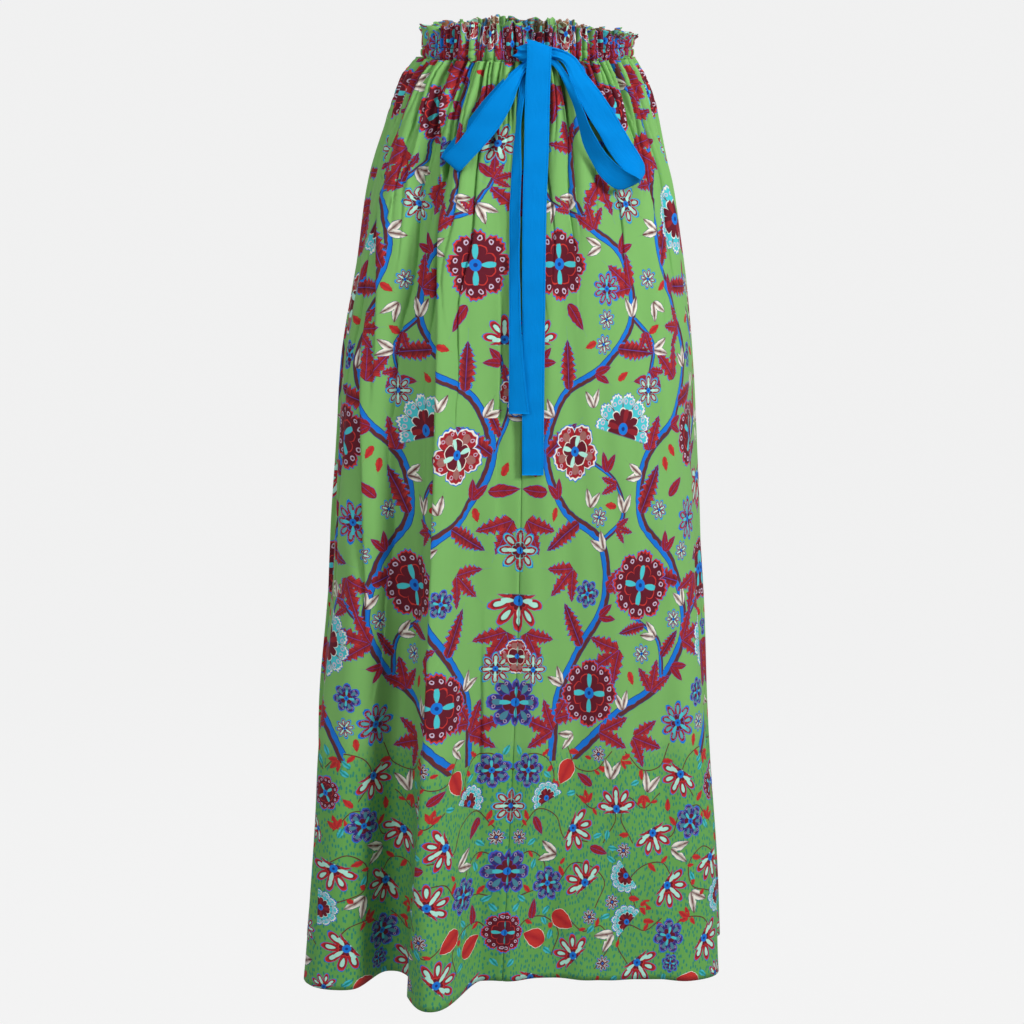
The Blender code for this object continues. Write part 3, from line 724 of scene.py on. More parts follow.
def stem_lines():
    """Every stem as points, directions, distances along it and half-widths, the vine's first."""
    stems = []
    for foot, tip, _, _, points in STEMS:
        line, ways, at = smooth_line(points, VINE_STEP)
        stems.append((line, ways, at, foot + (tip - foot) * at / at[-1]))
    for number in range(math.ceil(FLAT_WIDTH / BORDER_STEP)):
        for points in BORDER_STEMS:
            points = np.array(points)
            if number % 2:
                points = np.stack([BORDER_STEP - points[::-1, 0], points[::-1, 1]], axis=1)
            line, ways, at = smooth_line(points + (number * BORDER_STEP, BORDER_TOP), BORDER_LINE_STEP)
            stems.append((line, ways, at, np.full(len(at), BORDER_STEM_HALF)))
    return stems


def leaf(x, y, turn, length, kind, bend=0.0):
    """A leaf's row: foot, turn, length, half-width, bend, teeth, bite and three dyes."""
    wide, teeth, bite, *dyes = LEAVES[kind]
    return (x, y, turn, length, length * wide, bend, teeth, bite, *dyes)


def spray(x, y, turn, length, count, kind, spread=42.0):
    """Leaves that fan out from one foot, the outer ones shorter and bent outwards."""
    middles = [number - (count - 1) / 2 for number in range(count)]
    return [leaf(x, y, turn + spread * m, length * (1.0 - 0.13 * abs(m)), kind, 2.4 * m) for m in middles]


def nearest_bloom(x, y, blooms):
    """Which bloom each place is nearest to, and how far, in radii."""
    nearest = np.full(x.shape, 9.0)
    which = np.full(x.shape, -1)
    for number, (bx, by, radius, *_) in enumerate(blooms):
        distance = np.hypot(x - bx, y - by) / radius
        closer = distance < nearest
        nearest[closer] = distance[closer]
        which[closer] = number
    return which, nearest


def along_leaf(x, y, rows):
    """Share along a leaf and distance from its bent midrib."""
    cosine = np.cos(np.radians(rows[..., 2]))
    sine = np.sin(np.radians(rows[..., 2]))
    s = (x - rows[..., 0]) * cosine + (y - rows[..., 1]) * sine
    t = (y - rows[..., 1]) * cosine - (x - rows[..., 0]) * sine
    return s / rows[..., 3], t - rows[..., 5] * s * s


def nearest_leaf(x, y, leaves):
    """Which leaf each place is nearest to, and how far, in its half-sizes."""
    nearest = np.full(x.shape, 9.0)
    which = np.full(x.shape, -1)
    for number, row in enumerate(np.array([row[:8] for row in leaves])):
        s, t = along_leaf(x, y, row)
        distance = np.hypot((s - 0.5) / 0.5, t / (1.15 * row[4]))
        closer = distance < nearest
        nearest[closer] = distance[closer]
        which[closer] = number
    return which, nearest


def nearest_stem(x, y):
    """Which of the stems' points each place is nearest to, and how far it is from the stem's side."""
    which = np.zeros(x.size, dtype=int)
    near = np.zeros(x.size)
    for start in range(0, x.size, PLACES_AT_ONCE):
        part = slice(start, start + PLACES_AT_ONCE)
        across = x.ravel()[part, None] - STEM_POINTS[:, 0]
        down = y.ravel()[part, None] - STEM_POINTS[:, 1]
        distance = np.hypot(across, down) - STEM_HALVES
        which[part] = distance.argmin(axis=1)
        near[part] = distance.min(axis=1)
    return which.reshape(x.shape), near.reshape(x.shape)


def heading(way):
    """A direction's turn in degrees."""
    return math.degrees(math.atan2(way[1], way[0]))


def vine_leaves(rng):
    """Along the vine's stems, a spray or one long leaf on alternate sides, with a small one between."""
    leaves = []
    for (_, _, gap, length, _), (line, ways, at, _) in zip(STEMS, STEM_LINES):
        side = 1.0
        place = gap * 0.5
        while place < at[-1]:
            number = int(np.argmin(np.abs(at - place)))
            turn = heading(ways[number]) + side * rng.uniform(38, 60)
            if rng.uniform() < 0.45:
                leaves += spray(*line[number], turn, length * 0.95, 1, "fern")
            else:
                size = length * rng.uniform(0.52, 0.82)
                leaves += spray(*line[number], turn, size, int(rng.integers(2, 4)), "red")
            half_way = min(number + int(gap / (2 * VINE_STEP)), len(at) - 1)
            leaves += spray(*line[half_way], turn - side * 100, 0.024, 2, "pale" if side > 0 else "single")
            side = -side
            place += gap * rng.uniform(0.85, 1.2)
    return leaves


def fill_bare_cloth(x, y, taken, fill, first_row, last_row, rng):
    """Blooms and leaves at random places of these rows, wherever a disc of their reach is still bare."""
    blooms = []
    leaves = []
    for kind, reach, tries, what in fill:
        cells = round(reach / RASTER)
        tried_rows = rng.integers(first_row, last_row, tries)
        tried_columns = rng.integers(cells, x.shape[1], tries)
        turns = rng.uniform(0, 360, tries)
        for row, column, turn in zip(tried_rows, tried_columns, turns):
            window_rows = slice(max(row - cells, 0), row + cells + 1)
            window_columns = slice(max(column - cells, 0), column + cells + 1)
            window = (window_rows, window_columns)
            here = (x[row, column], y[row, column])
            disc = np.hypot(x[window] - here[0], y[window] - here[1]) <= reach
            if taken[window][disc].any():
                continue
            taken[window] |= disc
            back_x = reach * math.cos(math.radians(turn))
            back_y = reach * math.sin(math.radians(turn))
            foot = (here[0] - back_x, here[1] - back_y)
            if kind == "bloom":
                blooms.append((*here, reach * 0.95, turn, *FLOWERS[what]))
            elif kind == "leaf":
                leaves.append(leaf(*foot, turn, reach * 2.0, what, rng.uniform(-4, 4)))
            elif kind == "pair":
                leaves += spray(*foot, turn, reach * 1.9, 2, what, 50.0)
            else:
                leaves += spray(*foot, turn, reach * 1.9, 3, what, 40.0)
    return blooms, leaves


def border_leaves(taken, rng):
    """Small leaves on alternate sides of the border's tendrils, where the cloth is bare."""
    leaves = []
    rows, columns = taken.shape
    for line, ways, at, _ in STEM_LINES[len(STEMS):]:
        for index, place in enumerate(np.arange(0.004, at[-1], BORDER_LEAF_GAP)):
            number = int(np.argmin(np.abs(at - place)))
            row = np.clip(int((line[number, 1] - FLAT_TOP) / RASTER), 0, rows - 1)
            column = np.clip(int(line[number, 0] / RASTER), 0, columns - 1)
            if not taken[row, column]:
                turn = heading(ways[number]) + (58 if index % 2 else -58)
                leaves.append(leaf(*line[number], turn, rng.uniform(0.009, 0.014), "small_red"))
    return leaves


def lay_out_print():
    """All blooms and leaves: those listed, those along the stems, and what fills the bare cloth,
    tried at random places and kept where there is room."""
    rng = np.random.default_rng(21)
    blooms = [(x, y, radius, turn, *FLOWERS[flower]) for x, y, radius, turn, flower in BLOOMS]
    leaves = vine_leaves(rng)
    for x, y, turn, length, count in SPRAYS:
        leaves += spray(x, y, turn, length, count, "red")

    columns = round(FLAT_WIDTH / RASTER)
    rows = round((LENGTH - FLAT_TOP) / RASTER)
    downs = FLAT_TOP + (np.arange(rows) + 0.5) * RASTER
    acrosses = (np.arange(columns) + 0.5) * RASTER
    y, x = np.meshgrid(downs, acrosses, indexing="ij")
    taken = (nearest_bloom(x, y, blooms)[1] < 1.05) | (nearest_leaf(x, y, leaves)[1] < 0.9)
    stem, gap = nearest_stem(x, y)
    taken |= (gap < 0.001) & (STEM_HALVES[stem] > BORDER_STEM_HALF)
    border_row = round((BORDER_TOP - BORDER_MARGIN - FLAT_TOP) / RASTER)
    for fill, first_row, last_row in ((VINE_FILL, 0, border_row), (BORDER_FILL, border_row, rows)):
        more_blooms, more_leaves = fill_bare_cloth(x, y, taken, fill, first_row, last_row, rng)
        blooms += more_blooms
        leaves += more_leaves
    return blooms, leaves + border_leaves(taken, rng)


STEM_LINES = stem_lines()
STEM_POINTS = np.concatenate([stem[0] for stem in STEM_LINES])
STEM_WAYS = np.concatenate([stem[1] for stem in STEM_LINES])
STEM_RUNS = np.concatenate([stem[2] for stem in STEM_LINES])
STEM_HALVES = np.concatenate([stem[3] for stem in STEM_LINES])
PRINT_BLOOMS, PRINT_LEAVES = lay_out_print()


def bloom_fields(x, y):
    """For each face, given its corners' places on the flat cloth: the corner's place from the middle of
    the nearest bloom and its radius, its petals, part and pointedness, and its three dyes."""
    which, near = nearest_bloom(x.mean(axis=1), y.mean(axis=1), PRINT_BLOOMS)
    rows = np.array([row[:7] for row in PRINT_BLOOMS])[which][:, None, :] + 0.0 * x[..., None]
    cosine = np.cos(np.radians(rows[..., 3]))
    sine = np.sin(np.radians(rows[..., 3]))
    dx = x - rows[..., 0]
    dy = y - rows[..., 1]
    radius = np.where((near > BLOOM_NEAR)[:, None], 0.0, rows[..., 2])
    place = np.stack([dx * cosine + dy * sine, dy * cosine - dx * sine, radius], axis=-1)
    style = np.stack([rows[..., 4], rows[..., 6], rows[..., 5]], axis=-1)
    dyes = np.array([row[7:10] for row in PRINT_BLOOMS])
    return place, style, np.repeat(dyes[which][:, None], 4, axis=1)


def leaf_fields(x, y):
    """For each face: the corner's share along the nearest leaf, its distance from the midrib and the
    leaf's half-width, then its teeth, bite and length, and its three dyes."""
    which, near = nearest_leaf(x.mean(axis=1), y.mean(axis=1), PRINT_LEAVES)
    rows = np.array([row[:8] for row in PRINT_LEAVES])[which][:, None, :] + 0.0 * x[..., None]
    s, t = along_leaf(x, y, rows)
    half_width = np.where((near > LEAF_NEAR)[:, None], 0.0, rows[..., 4])
    place = np.stack([s, t, half_width], axis=-1)
    style = np.stack([rows[..., 6], rows[..., 7], rows[..., 3]], axis=-1)
    dyes = np.array([row[8:11] for row in PRINT_LEAVES])
    return place, style, np.repeat(dyes[which][:, None], 4, axis=1)


def stem_fields(x, y):
    """For each face: the corner's distance along the nearest stem, its distance from the stem's middle
    and the stem's half-width, which is 0 where there is none near."""
    which, near = nearest_stem(x.mean(axis=1), y.mean(axis=1))
    dx = x - STEM_POINTS[which, 0][:, None]
    dy = y - STEM_POINTS[which, 1][:, None]
    way_x = STEM_WAYS[which, 0][:, None]
    way_y = STEM_WAYS[which, 1][:, None]
    along = STEM_RUNS[which][:, None] + dx * way_x + dy * way_y
    off = dy * way_x - dx * way_y
    half_width = np.where(near < STEM_NEAR, STEM_HALVES[which], 0.0)[:, None] + 0.0 * x
    return np.stack([along, off, half_width], axis=-1)


def set_field(mesh, name, values):
    """Write one vector for each face corner as an attribute."""
    field = mesh.attributes.new(name, "FLOAT_VECTOR", "CORNER")
    field.data.foreach_set("vector", values.astype(np.float32).ravel())


def lay_print(mesh, u, v, closed=False):
    """Put the print on a grid mesh: u and v are each point's place on the flat cloth, u from the mirror
    line. In a closed grid the faces after the last column keep that column's place."""
    rows, columns = v.shape
    faces = grid_faces(rows, columns, closed)
    corner_u = u.ravel()[faces]
    corner_v = v.ravel()[faces]
    if closed:
        last = (faces[:, 0] % columns) == columns - 1
        corner_u[last, 2:] = corner_u[last, :2][:, ::-1]
    flat = mesh.uv_layers.new(name="cloth")
    flat.data.foreach_set("uv", np.stack([corner_u, corner_v], axis=-1).astype(np.float32).ravel())
    x = np.abs(corner_u)
    for kind, fields, parts in (
        ("bloom", bloom_fields(x, corner_v), ("petal", "rim", "heart")),
        ("leaf", leaf_fields(x, corner_v), ("body", "tip", "edge")),
    ):
        place, style, colours = fields
        set_field(mesh, kind + "_place", place)
        set_field(mesh, kind + "_style", style)
        for number, part in enumerate(parts):
            set_field(mesh, f"{kind}_{part}", colours[:, :, number])
    set_field(mesh, "stem_place", stem_fields(x, corner_v))


class Value:
    """A shader socket that works in Python sums: each operator adds a Math node to its cloth."""

    def __init__(self, cloth, socket):
        self.cloth = cloth
        self.socket = socket

    def math(self, operation, *others, clamp=False):
        """A Math node on this value and the others."""
        settings = {"operation": operation, "use_clamp": clamp}
        return self.cloth.add("ShaderNodeMath", settings, (self, *others))

    def __add__(self, other):
        return self.math("ADD", other)

    __radd__ = __add__

    def __sub__(self, other):
        return self.math("SUBTRACT", other)

    def __rsub__(self, other):
        return self.cloth.add("ShaderNodeMath", {"operation": "SUBTRACT"}, (other, self))

    def __mul__(self, other):
        return self.math("MULTIPLY", other)

    __rmul__ = __mul__

    def __truediv__(self, other):
        return self.math("DIVIDE", other)

    def __rtruediv__(self, other):
        return self.cloth.add("ShaderNodeMath", {"operation": "DIVIDE"}, (other, self))

    def __pow__(self, other):
        return self.math("POWER", other)

    def __abs__(self):
        return self.math("ABSOLUTE")

    def below(self, limit, soft=0.0003):
        """1 where the value is under the limit, 0 above it, with an edge as soft as given."""
        if isinstance(limit, Value):
            return (limit - self).math("MULTIPLY_ADD", 1.0 / soft, 0.5, clamp=True)
        return self.math("MULTIPLY_ADD", -1.0 / soft, limit / soft + 0.5, clamp=True)


class Cloth:
    """A cloth's material and its nodes."""

    def __init__(self, name, roughness, specular, sheen):
        self.material = bpy.data.materials.new(name)
        self.material.use_nodes = True
        self.tree = self.material.node_tree
        self.shader = self.tree.nodes["Principled BSDF"]
        self.shader.inputs["Roughness"].default_value = roughness
        self.shader.inputs["Specular IOR Level"].default_value = specular
        self.shader.inputs["Sheen Weight"].default_value = sheen
        self.shader.inputs["Sheen Roughness"].default_value = 0.5

    def add(self, kind, settings, inputs=(), output=0):
        """Add a node: its settings first, then its sockets by number or name. Gives one output."""
        node = self.tree.nodes.new(kind)
        for name, value in settings.items():
            setattr(node, name, value)
        pairs = inputs.items() if isinstance(inputs, dict) else enumerate(inputs)
        for key, value in pairs:
            if isinstance(value, Value):
                self.tree.links.new(value.socket, node.inputs[key])
            elif isinstance(value, tuple) and len(value) == 3 and len(node.inputs[key].default_value) == 4:
                node.inputs[key].default_value = (*value, 1.0)
            else:
                node.inputs[key].default_value = value
        return Value(self, node.outputs[output])

    def mix(self, share, first, second):
        """A colour between two."""
        return self.add("ShaderNodeMix", {"data_type": "RGBA"}, {0: share, 6: first, 7: second}, output=2)

    def field(self, name, output="Vector"):
        """An attribute of the mesh."""
        return self.add("ShaderNodeAttribute", {"attribute_name": name}, output=output)

    def parts(self, vector):
        """The three numbers of a vector."""
        split = self.add("ShaderNodeSeparateXYZ", {}, (vector,))
        return tuple(Value(self, socket) for socket in split.socket.node.outputs)

    def noise(self, vector, scale, detail=1.0):
        """Soft noise from 0 to 1."""
        return self.add("ShaderNodeTexNoise", {}, {"Vector": vector, "Scale": scale, "Detail": detail})

    def feed(self, name, value):
        """Link a value to the shader."""
        self.tree.links.new(value.socket, self.shader.inputs[name])

    def relief(self, height, strength, depth):
        """Feed a height to the shader as a bump, so many metres deep."""
        bump = self.add("ShaderNodeBump", {}, {"Strength": strength, "Distance": depth, "Height": height})
        self.feed("Normal", bump)


def weave(cloth, flat, thread):
    """The height of a plain weave with slubs: waves along both threads, and long soft noise."""
    u, v, _ = cloth.parts(flat)
    warp = (u * (math.pi / thread)).math("SINE")
    weft = (v * (math.pi / thread)).math("SINE")
    stretched = cloth.add("ShaderNodeMapping", {}, {"Vector": flat, "Scale": (180.0, 1400.0, 1.0)})
    slub = cloth.noise(stretched, 1.0, 2.0)
    return warp * weft * 0.5 + slub * 1.4


def draw_ground(cloth, flat):
    """The green ground, a little mottled, and deeper with short teal flecks in the border. The border's
    deeper green is partly the print's own ground and partly painted shade of the light falling off towards
    the hem.
    """
    _, down, _ = cloth.parts(flat)
    mottle = cloth.noise(flat, 38.0, 2.0)
    above_border = down.below(BORDER_TOP + 0.012, 0.030)
    # deeper green below the border's top: partly the print's ground, partly painted shade of the light
    # falling off towards the hem
    base = cloth.mix(above_border, BORDER_GREEN_AND_SHADE, GREEN)
    base = cloth.mix(mottle * 0.22, base, FRESH_GREEN)
    slanted = {"Vector": flat, "Scale": (260.0, 130.0, 1.0), "Rotation": (0.0, 0.0, 0.5)}
    fleck_place = cloth.add("ShaderNodeMapping", {}, slanted)
    cells = {"voronoi_dimensions": "2D"}
    flecks = cloth.add("ShaderNodeTexVoronoi", cells, {"Vector": fleck_place, "Scale": 1.0})
    fleck = flecks.below(0.26, 0.08) * (1 - above_border)
    return cloth.mix(fleck * 0.8, base, TEAL)


def draw_stems(cloth, colour):
    """Stems over a colour: blue on one side and bark on the other, with a ragged dark edge."""
    along, off, half = cloth.parts(cloth.field("stem_place"))
    ragged = cloth.noise(cloth.add("ShaderNodeCombineXYZ", {}, (along * 90.0, off * 60.0, 0.0)), 1.0, 1.0)
    reach = half * (ragged * 0.5 + 0.78)
    inside = abs(off).below(reach)
    thick = half.math("GREATER_THAN", 0.0012)
    colour = cloth.mix(abs(off).below(reach + 0.0008) * thick, colour, DEEP_BLUE)
    bright = off.below(half * (ragged * 1.2 - 0.5), 0.0006)
    stem_colour = cloth.mix(bright * thick, BARK, MID_BLUE)
    return cloth.mix(inside * half.math("GREATER_THAN", 0.0001), colour, stem_colour)


def draw_leaves(cloth, colour, wobble):
    """Leaves over a colour: lighter towards the edge, which has its own dye. Those with more than two
    teeth have slanting teeth, dark streaks and a violet midrib."""
    share, beside, wide = cloth.parts(cloth.field("leaf_place"))
    teeth, bite, length = cloth.parts(cloth.field("leaf_style"))
    leaf_body = cloth.field("leaf_body", "Color")
    leaf_tip = cloth.field("leaf_tip", "Color")
    leaf_edge = cloth.field("leaf_edge", "Color")
    away = abs(beside)
    spread = away / wide.math("MAXIMUM", 0.0002)
    tooth = (share * teeth - spread * 0.9).math("FRACT")
    belly = (share.math("MAXIMUM", 0.0).math("MINIMUM", 1.0) ** 0.72 * math.pi).math("SINE")
    notch = (share * teeth * 3.0 - spread * 1.3).math("FRACT")
    limit = wide * (belly ** 0.8) * (1 - bite * tooth) * (1 - bite * 0.35 * notch) * (1 + wobble * 0.35)
    there = share.math("GREATER_THAN", 0.0) * wide.math("GREATER_THAN", 0.0004)
    rim_width = (length * 0.020).math("MINIMUM", 0.0012)
    rim_limit = limit + rim_width * (belly * 2.5).math("MINIMUM", 1.0)
    colour = cloth.mix(away.below(rim_limit) * there, colour, leaf_edge)
    toothed = teeth.math("GREATER_THAN", 2.5)
    lightness = spread * 1.5 * (1.35 - tooth * (toothed * 0.6 + 0.4)) + wobble * 0.8
    body = cloth.mix(lightness.math("MINIMUM", 1.0), leaf_body, leaf_tip)
    streaks = ((share * length - away * 0.9) * 2100.0 + wobble * 5.0).math("SINE") * 0.5 + 0.5
    body = cloth.mix(streaks * 0.35 * toothed, body, MAROON)
    body = cloth.mix(tooth.below(0.10, 0.07) * 0.8 * toothed, body, MAROON)
    body = cloth.mix(away.below(length * 0.006, 0.0004) * toothed, body, VIOLET)
    return cloth.mix(away.below(limit) * there, colour, body)


def draw_blooms(cloth, colour, wobble):
    """Blooms over a colour: frilled outer petals with pale eyelets or, where they are pointed, with a
    pale middle, then an inner ring, four narrow tears and an eye."""
    x, y, radius = cloth.parts(cloth.field("bloom_place"))
    petals, part, pointed = cloth.parts(cloth.field("bloom_style"))
    petal = cloth.field("bloom_petal", "Color")
    rim = cloth.field("bloom_rim", "Color")
    heart = cloth.field("bloom_heart", "Color")
    size = radius.math("MAXIMUM", 0.0002)
    rho = (x * x + y * y).math("SQRT") / size * (1 + wobble * 0.16)
    sector = (y.math("ARCTAN2", x) * (0.5 / math.pi) * petals + 0.5).math("FRACT") * 2 - 1
    e = abs(sector)
    arch = (1 - e * e).math("SQRT")
    frill = (e * 16.0).math("COSINE") * 0.022
    round_edge = 0.74 + 0.24 * arch + frill
    outer = round_edge + pointed * (0.98 - 0.58 * e * e - round_edge)
    cut_off = (x / size - part).below(0.0, 0.04)
    drawn = radius.math("GREATER_THAN", 0.001) * (1 - cut_off)
    line = 0.0011 / size
    colour = cloth.mix(rho.below(outer + line, 0.012) * drawn, colour, MID_BLUE)
    streak = (sector * 22.0 + rho * 6.0).math("SINE") * 0.5 + 0.5
    body = cloth.mix(streak * rho * part.below(-0.7, 0.1) * 0.55, petal, MAROON)
    cleft = e.below(0.90, 0.12)
    body = cloth.mix(cleft, MAROON, body)
    body = cloth.mix(rho.below(outer - 0.060, 0.02), rim, body)
    side_way = (e - 0.46) / petals * (0.74 * math.pi)
    eyelet = ((rho - 0.76) ** 2 + side_way * side_way).math("SQRT")
    body = cloth.mix(abs(eyelet - 0.055).below(0.016, 0.012) * (1 - pointed), body, LILAC)
    core = ((rho - 0.60) * 4.6) ** 2 + (e * 2.4) ** 2
    body = cloth.mix(core.below(1.35, 0.25) * pointed, body, MAROON)
    body = cloth.mix(core.below(0.85, 0.25) * pointed, body, heart)
    inner = (0.36 + 0.20 * (1 - (1 - e) ** 2).math("SQRT")) * (1 - 0.45 * pointed)
    body = cloth.mix(rho.below(inner + 0.035, 0.014), body, rim)
    body = cloth.mix(rho.below(inner, 0.014), body, MAROON)
    tear_turn = abs((y.math("ARCTAN2", x) * (0.5 / math.pi) * 4.0 + 0.5).math("FRACT") * 2 - 1)
    tear_width = (rho * 5.2 - 0.55).math("SINE") * 0.085
    tear = (tear_turn * rho * (math.pi / 4)).below(tear_width, 0.014) * rho.below(0.56, 0.02)
    body = cloth.mix(tear, body, heart)
    body = cloth.mix(rho.below(0.17, 0.015), body, MID_BLUE)
    body = cloth.mix(rho.below(0.06, 0.015), body, DEEP_BLUE)
    return cloth.mix(rho.below(outer, 0.012) * drawn, colour, body)


def printed_cotton(name, wrong_side):
    """Printed cotton: green ground, stems, leaves and blooms, drawn from the print's attributes, each on
    top of the last. On the wrong side the print shows pale through the cloth."""
    cloth = Cloth(name, 0.75, 0.10, 0.04)
    flat = cloth.add("ShaderNodeUVMap", {"uv_map": "cloth"})
    wobble = cloth.noise(flat, 150.0, 1.0) - 0.5
    colour = draw_ground(cloth, flat)
    colour = draw_stems(cloth, colour)
    colour = draw_leaves(cloth, colour, wobble)
    colour = draw_blooms(cloth, colour, wobble)
    if wrong_side:
        colour = cloth.mix(0.22, colour, WASHED_GREEN)
    cloth.feed("Base Color", colour)
    cloth.relief(weave(cloth, flat, 0.00045), 0.5, 0.00012)
    return cloth.material


cotton_face = printed_cotton("printed_cotton", wrong_side=False)
cotton_back = printed_cotton("printed_cotton_wrong_side", wrong_side=True)


def add_thickness(piece, thick):
    """Give a sheet its thickness, inwards; the inner face takes the second material."""
    wall = piece.modifiers.new("thickness", "SOLIDIFY")
    wall.thickness = thick
    wall.offset = -1.0
    wall.use_even_offset = False
    wall.material_offset = 1


def panel_drops(rows, crowding):
    """Drops from just under the casing to the hem, closer together near the waist."""
    share = np.linspace(0.0, 1.0, rows + 1)
    top = CASING_HALF + SEAM_GAP
    return top + (LENGTH - top) * (share * (1.0 - crowding) + crowding * share**2)


# name, first and last share of the round, where the mirror line of its print lies, columns and rows
PANELS = (
    ("front_left", -SIDE_SEAM, 0.0, 1.0, 186, 250),
    ("front_right", 0.0, SIDE_SEAM, 0.0, 186, 250),
    ("back_right", SIDE_SEAM, 0.5, 1.0, 150, 200),
    ("back_left", 0.5, 1.0 - SIDE_SEAM, 0.0, 150, 200),
)

# A panel's two edges: column, its neighbour, how far the edge is drawn back and how far in
EDGES = (
    (0, 1, SEAM_GAP / 4, SEAM_GAP / 2),
    (-1, -2, -SEAM_LAP, SEAM_UNDER),
)
DENSE_STEP = 0.0004      # step at which the folds are worked out before the even columns are read
TOP_CROWDING = 0.62

for name, first, last, mirror, columns, rows in PANELS:
    drops = panel_drops(rows, TOP_CROWDING)
    around = np.linspace(first, last, round((last - first) * HEM_ROUND / DENSE_STEP))
    points = even_columns(skirt_surface(around, drops), columns)
    outward = smooth_form((first, last), drops)[1]
    for edge, neighbour, back, inwards in EDGES:
        back_off = points[:, neighbour] - points[:, edge]
        back_off /= np.linalg.norm(back_off, axis=1, keepdims=True)
        points[:, neighbour] = points[:, edge] + back_off * SEAM_BEND
        points[:, edge] += back_off * back - outward[:, edge] * inwards
    share = np.linspace(0.0, 1.0, columns + 1) - mirror
    v = np.repeat(drops[:, None], columns + 1, axis=1)
    u = share[None, :] * (last - first) * cloth_width(drops)[:, None]
    mesh = grid_mesh(name, points)
    lay_print(mesh, u, v)
    panel = add_object(name + "_cloth", mesh, cotton_face, cotton_back)
    add_thickness(panel, CLOTH_THICK)
    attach(panel, "root")
    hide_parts(name)

# The waist casing: a channel of the same cotton stitched over elastic, close uneven gathers between two
# rows of stitching. It joins the panels to the frill.
CASING_STEPS = 1150
CASING_ROWS = 14
CASING_PUFF = 0.0009
CASING_THICK = 0.0024
STITCH_AT = 0.78         # the rows of stitching, as a share of half the height


def cloth_round(around):
    """Each place round the waist as its distance on the flat cloth from its panel's mirror line."""
    folded = (np.asarray(around) + 0.5) % 1.0 - 0.5
    front = np.abs(folded) <= SIDE_SEAM
    return np.where(front, folded, round_distance(folded, 0.5)) * TOP_ROUND


def casing_surface(around, heights):
    """The channel: ridges of the gathers, puffed between the two rows of stitching, which pinch them
    about one millimetre from each edge."""
    points, outward, _, _ = smooth_form(around, np.zeros(len(heights)))
    fine = gather_ridges(around, np.zeros(1), GATHERS[2], down=False)
    coarse = gather_ridges(around, np.zeros(1), GATHERS[1], down=False)
    share = np.abs(heights[:, None]) / CASING_HALF
    pinch = 1.0 - 0.45 * np.exp(-(((share - STITCH_AT) / 0.13) ** 2))
    groove = 0.0007 * np.exp(-(((share - STITCH_AT) / 0.10) ** 2))
    out = 0.0010 + pinch * (0.62 * fine + 0.28 * coarse) + CASING_PUFF * (1.0 - share**2) - groove
    points = points + outward * out[..., None]
    points[..., 2] = heights[:, None]
    return points


around = np.arange(CASING_STEPS) / CASING_STEPS - 0.5
heights = np.linspace(CASING_HALF, -CASING_HALF, CASING_ROWS + 1)
mesh = grid_mesh("waist_casing", casing_surface(around, heights), closed=True)
u = np.repeat(cloth_round(around)[None, :], CASING_ROWS + 1, axis=0)
lay_print(mesh, u, np.repeat(-heights[:, None], CASING_STEPS, axis=1), closed=True)
casing = add_object("waist_casing_cloth", mesh, cotton_face, cotton_back)
add_thickness(casing, CASING_THICK)
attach(casing, "root")
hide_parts("waist_casing")

# The frill: the cotton above the channel, a free edge that stands up in close waves and curls. At the
# centre front the knot pulls it down and it turns outwards over it.
FRILL_STEPS = 1500
FRILL_ROWS = 20
FRILL_TOP = 0.030
FRILL_DIP = 0.009
FRILL_DIP_AT = 0.014
FRILL_DIP_WIDE = 0.034
FRILL_LEAN = 0.0075      # how far its free edge leans in
FRILL_CURL = 0.0026
FRILL_TURN = 0.0085      # how far it turns out over the knot
FRILL_THICK = 0.0009


def round_wave(around, waves, start=0.0, sway=0.0, sways=0):
    """A sine wave round the skirt; sway is how far, in waves, a slower one moves its crests to and fro."""
    return np.sin(2 * np.pi * (waves * around + start + sway * np.sin(2 * np.pi * sways * around)))


def frill_surface(around, shares):
    """The frill by share of its height: the casing's gathers grow into open waves towards the free
    edge, which leans in, curls a little and dips over the knot. It is lowest at the right side."""
    dip = ease(1.0 - np.abs(round_distance(around, FRILL_DIP_AT) / FRILL_DIP_WIDE))
    uneven = 0.0014 * round_wave(around, 9, 0.3) + 0.0012 * round_wave(around, 31, 0.1)
    uneven = uneven + 0.0012 * round_wave(around, 73, 0.0, 1.4, 7)
    tilt = 0.0058 * np.cos(4 * np.pi * around) - 0.0045 * np.sin(2 * np.pi * around) - 0.0028
    top = FRILL_TOP - FRILL_DIP * dip + uneven + tilt
    foot = CASING_HALF + SEAM_GAP
    share = np.asarray(shares)[:, None]
    height = foot + (top - foot)[None, :] * share
    points, outward, along, _ = smooth_form(around, -(foot + (FRILL_TOP - foot) * np.asarray(shares)))
    fine = gather_ridges(around, np.zeros(1), GATHERS[2], down=False)
    coarse = gather_ridges(around, np.zeros(1), GATHERS[1], down=False)
    wide = gather_ridges(around, np.zeros(1), GATHERS[0], down=False)
    out = fine * (0.62 + 0.30 * share) + coarse * (0.30 + 0.45 * share) + wide * 0.25 * share + 0.0018
    out = out - FRILL_LEAN * ease(share)
    out = out + FRILL_CURL * share**3 * round_wave(around, 53, 0.0, 1.2, 6)[None, :]
    out = out + FRILL_TURN * dip[None, :] * share**2
    slide = 0.0024 * share**2 * round_wave(around, 29, 0.0, 1.1, 5)[None, :]
    points = points + outward * out[..., None] + along * slide[..., None]
    points[..., 2] = height
    return points


around = np.arange(FRILL_STEPS) / FRILL_STEPS - 0.5
shares = np.linspace(1.0, 0.0, FRILL_ROWS + 1)
points = frill_surface(around, shares)
mesh = grid_mesh("header_ruffle", points, closed=True)
u = np.repeat(cloth_round(around)[None, :], FRILL_ROWS + 1, axis=0)
lay_print(mesh, u, -points[..., 2], closed=True)
frill = add_object("header_ruffle_cloth", mesh, cotton_face, cotton_back)
add_thickness(frill, FRILL_THICK)
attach(frill, "root")
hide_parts("header_ruffle")

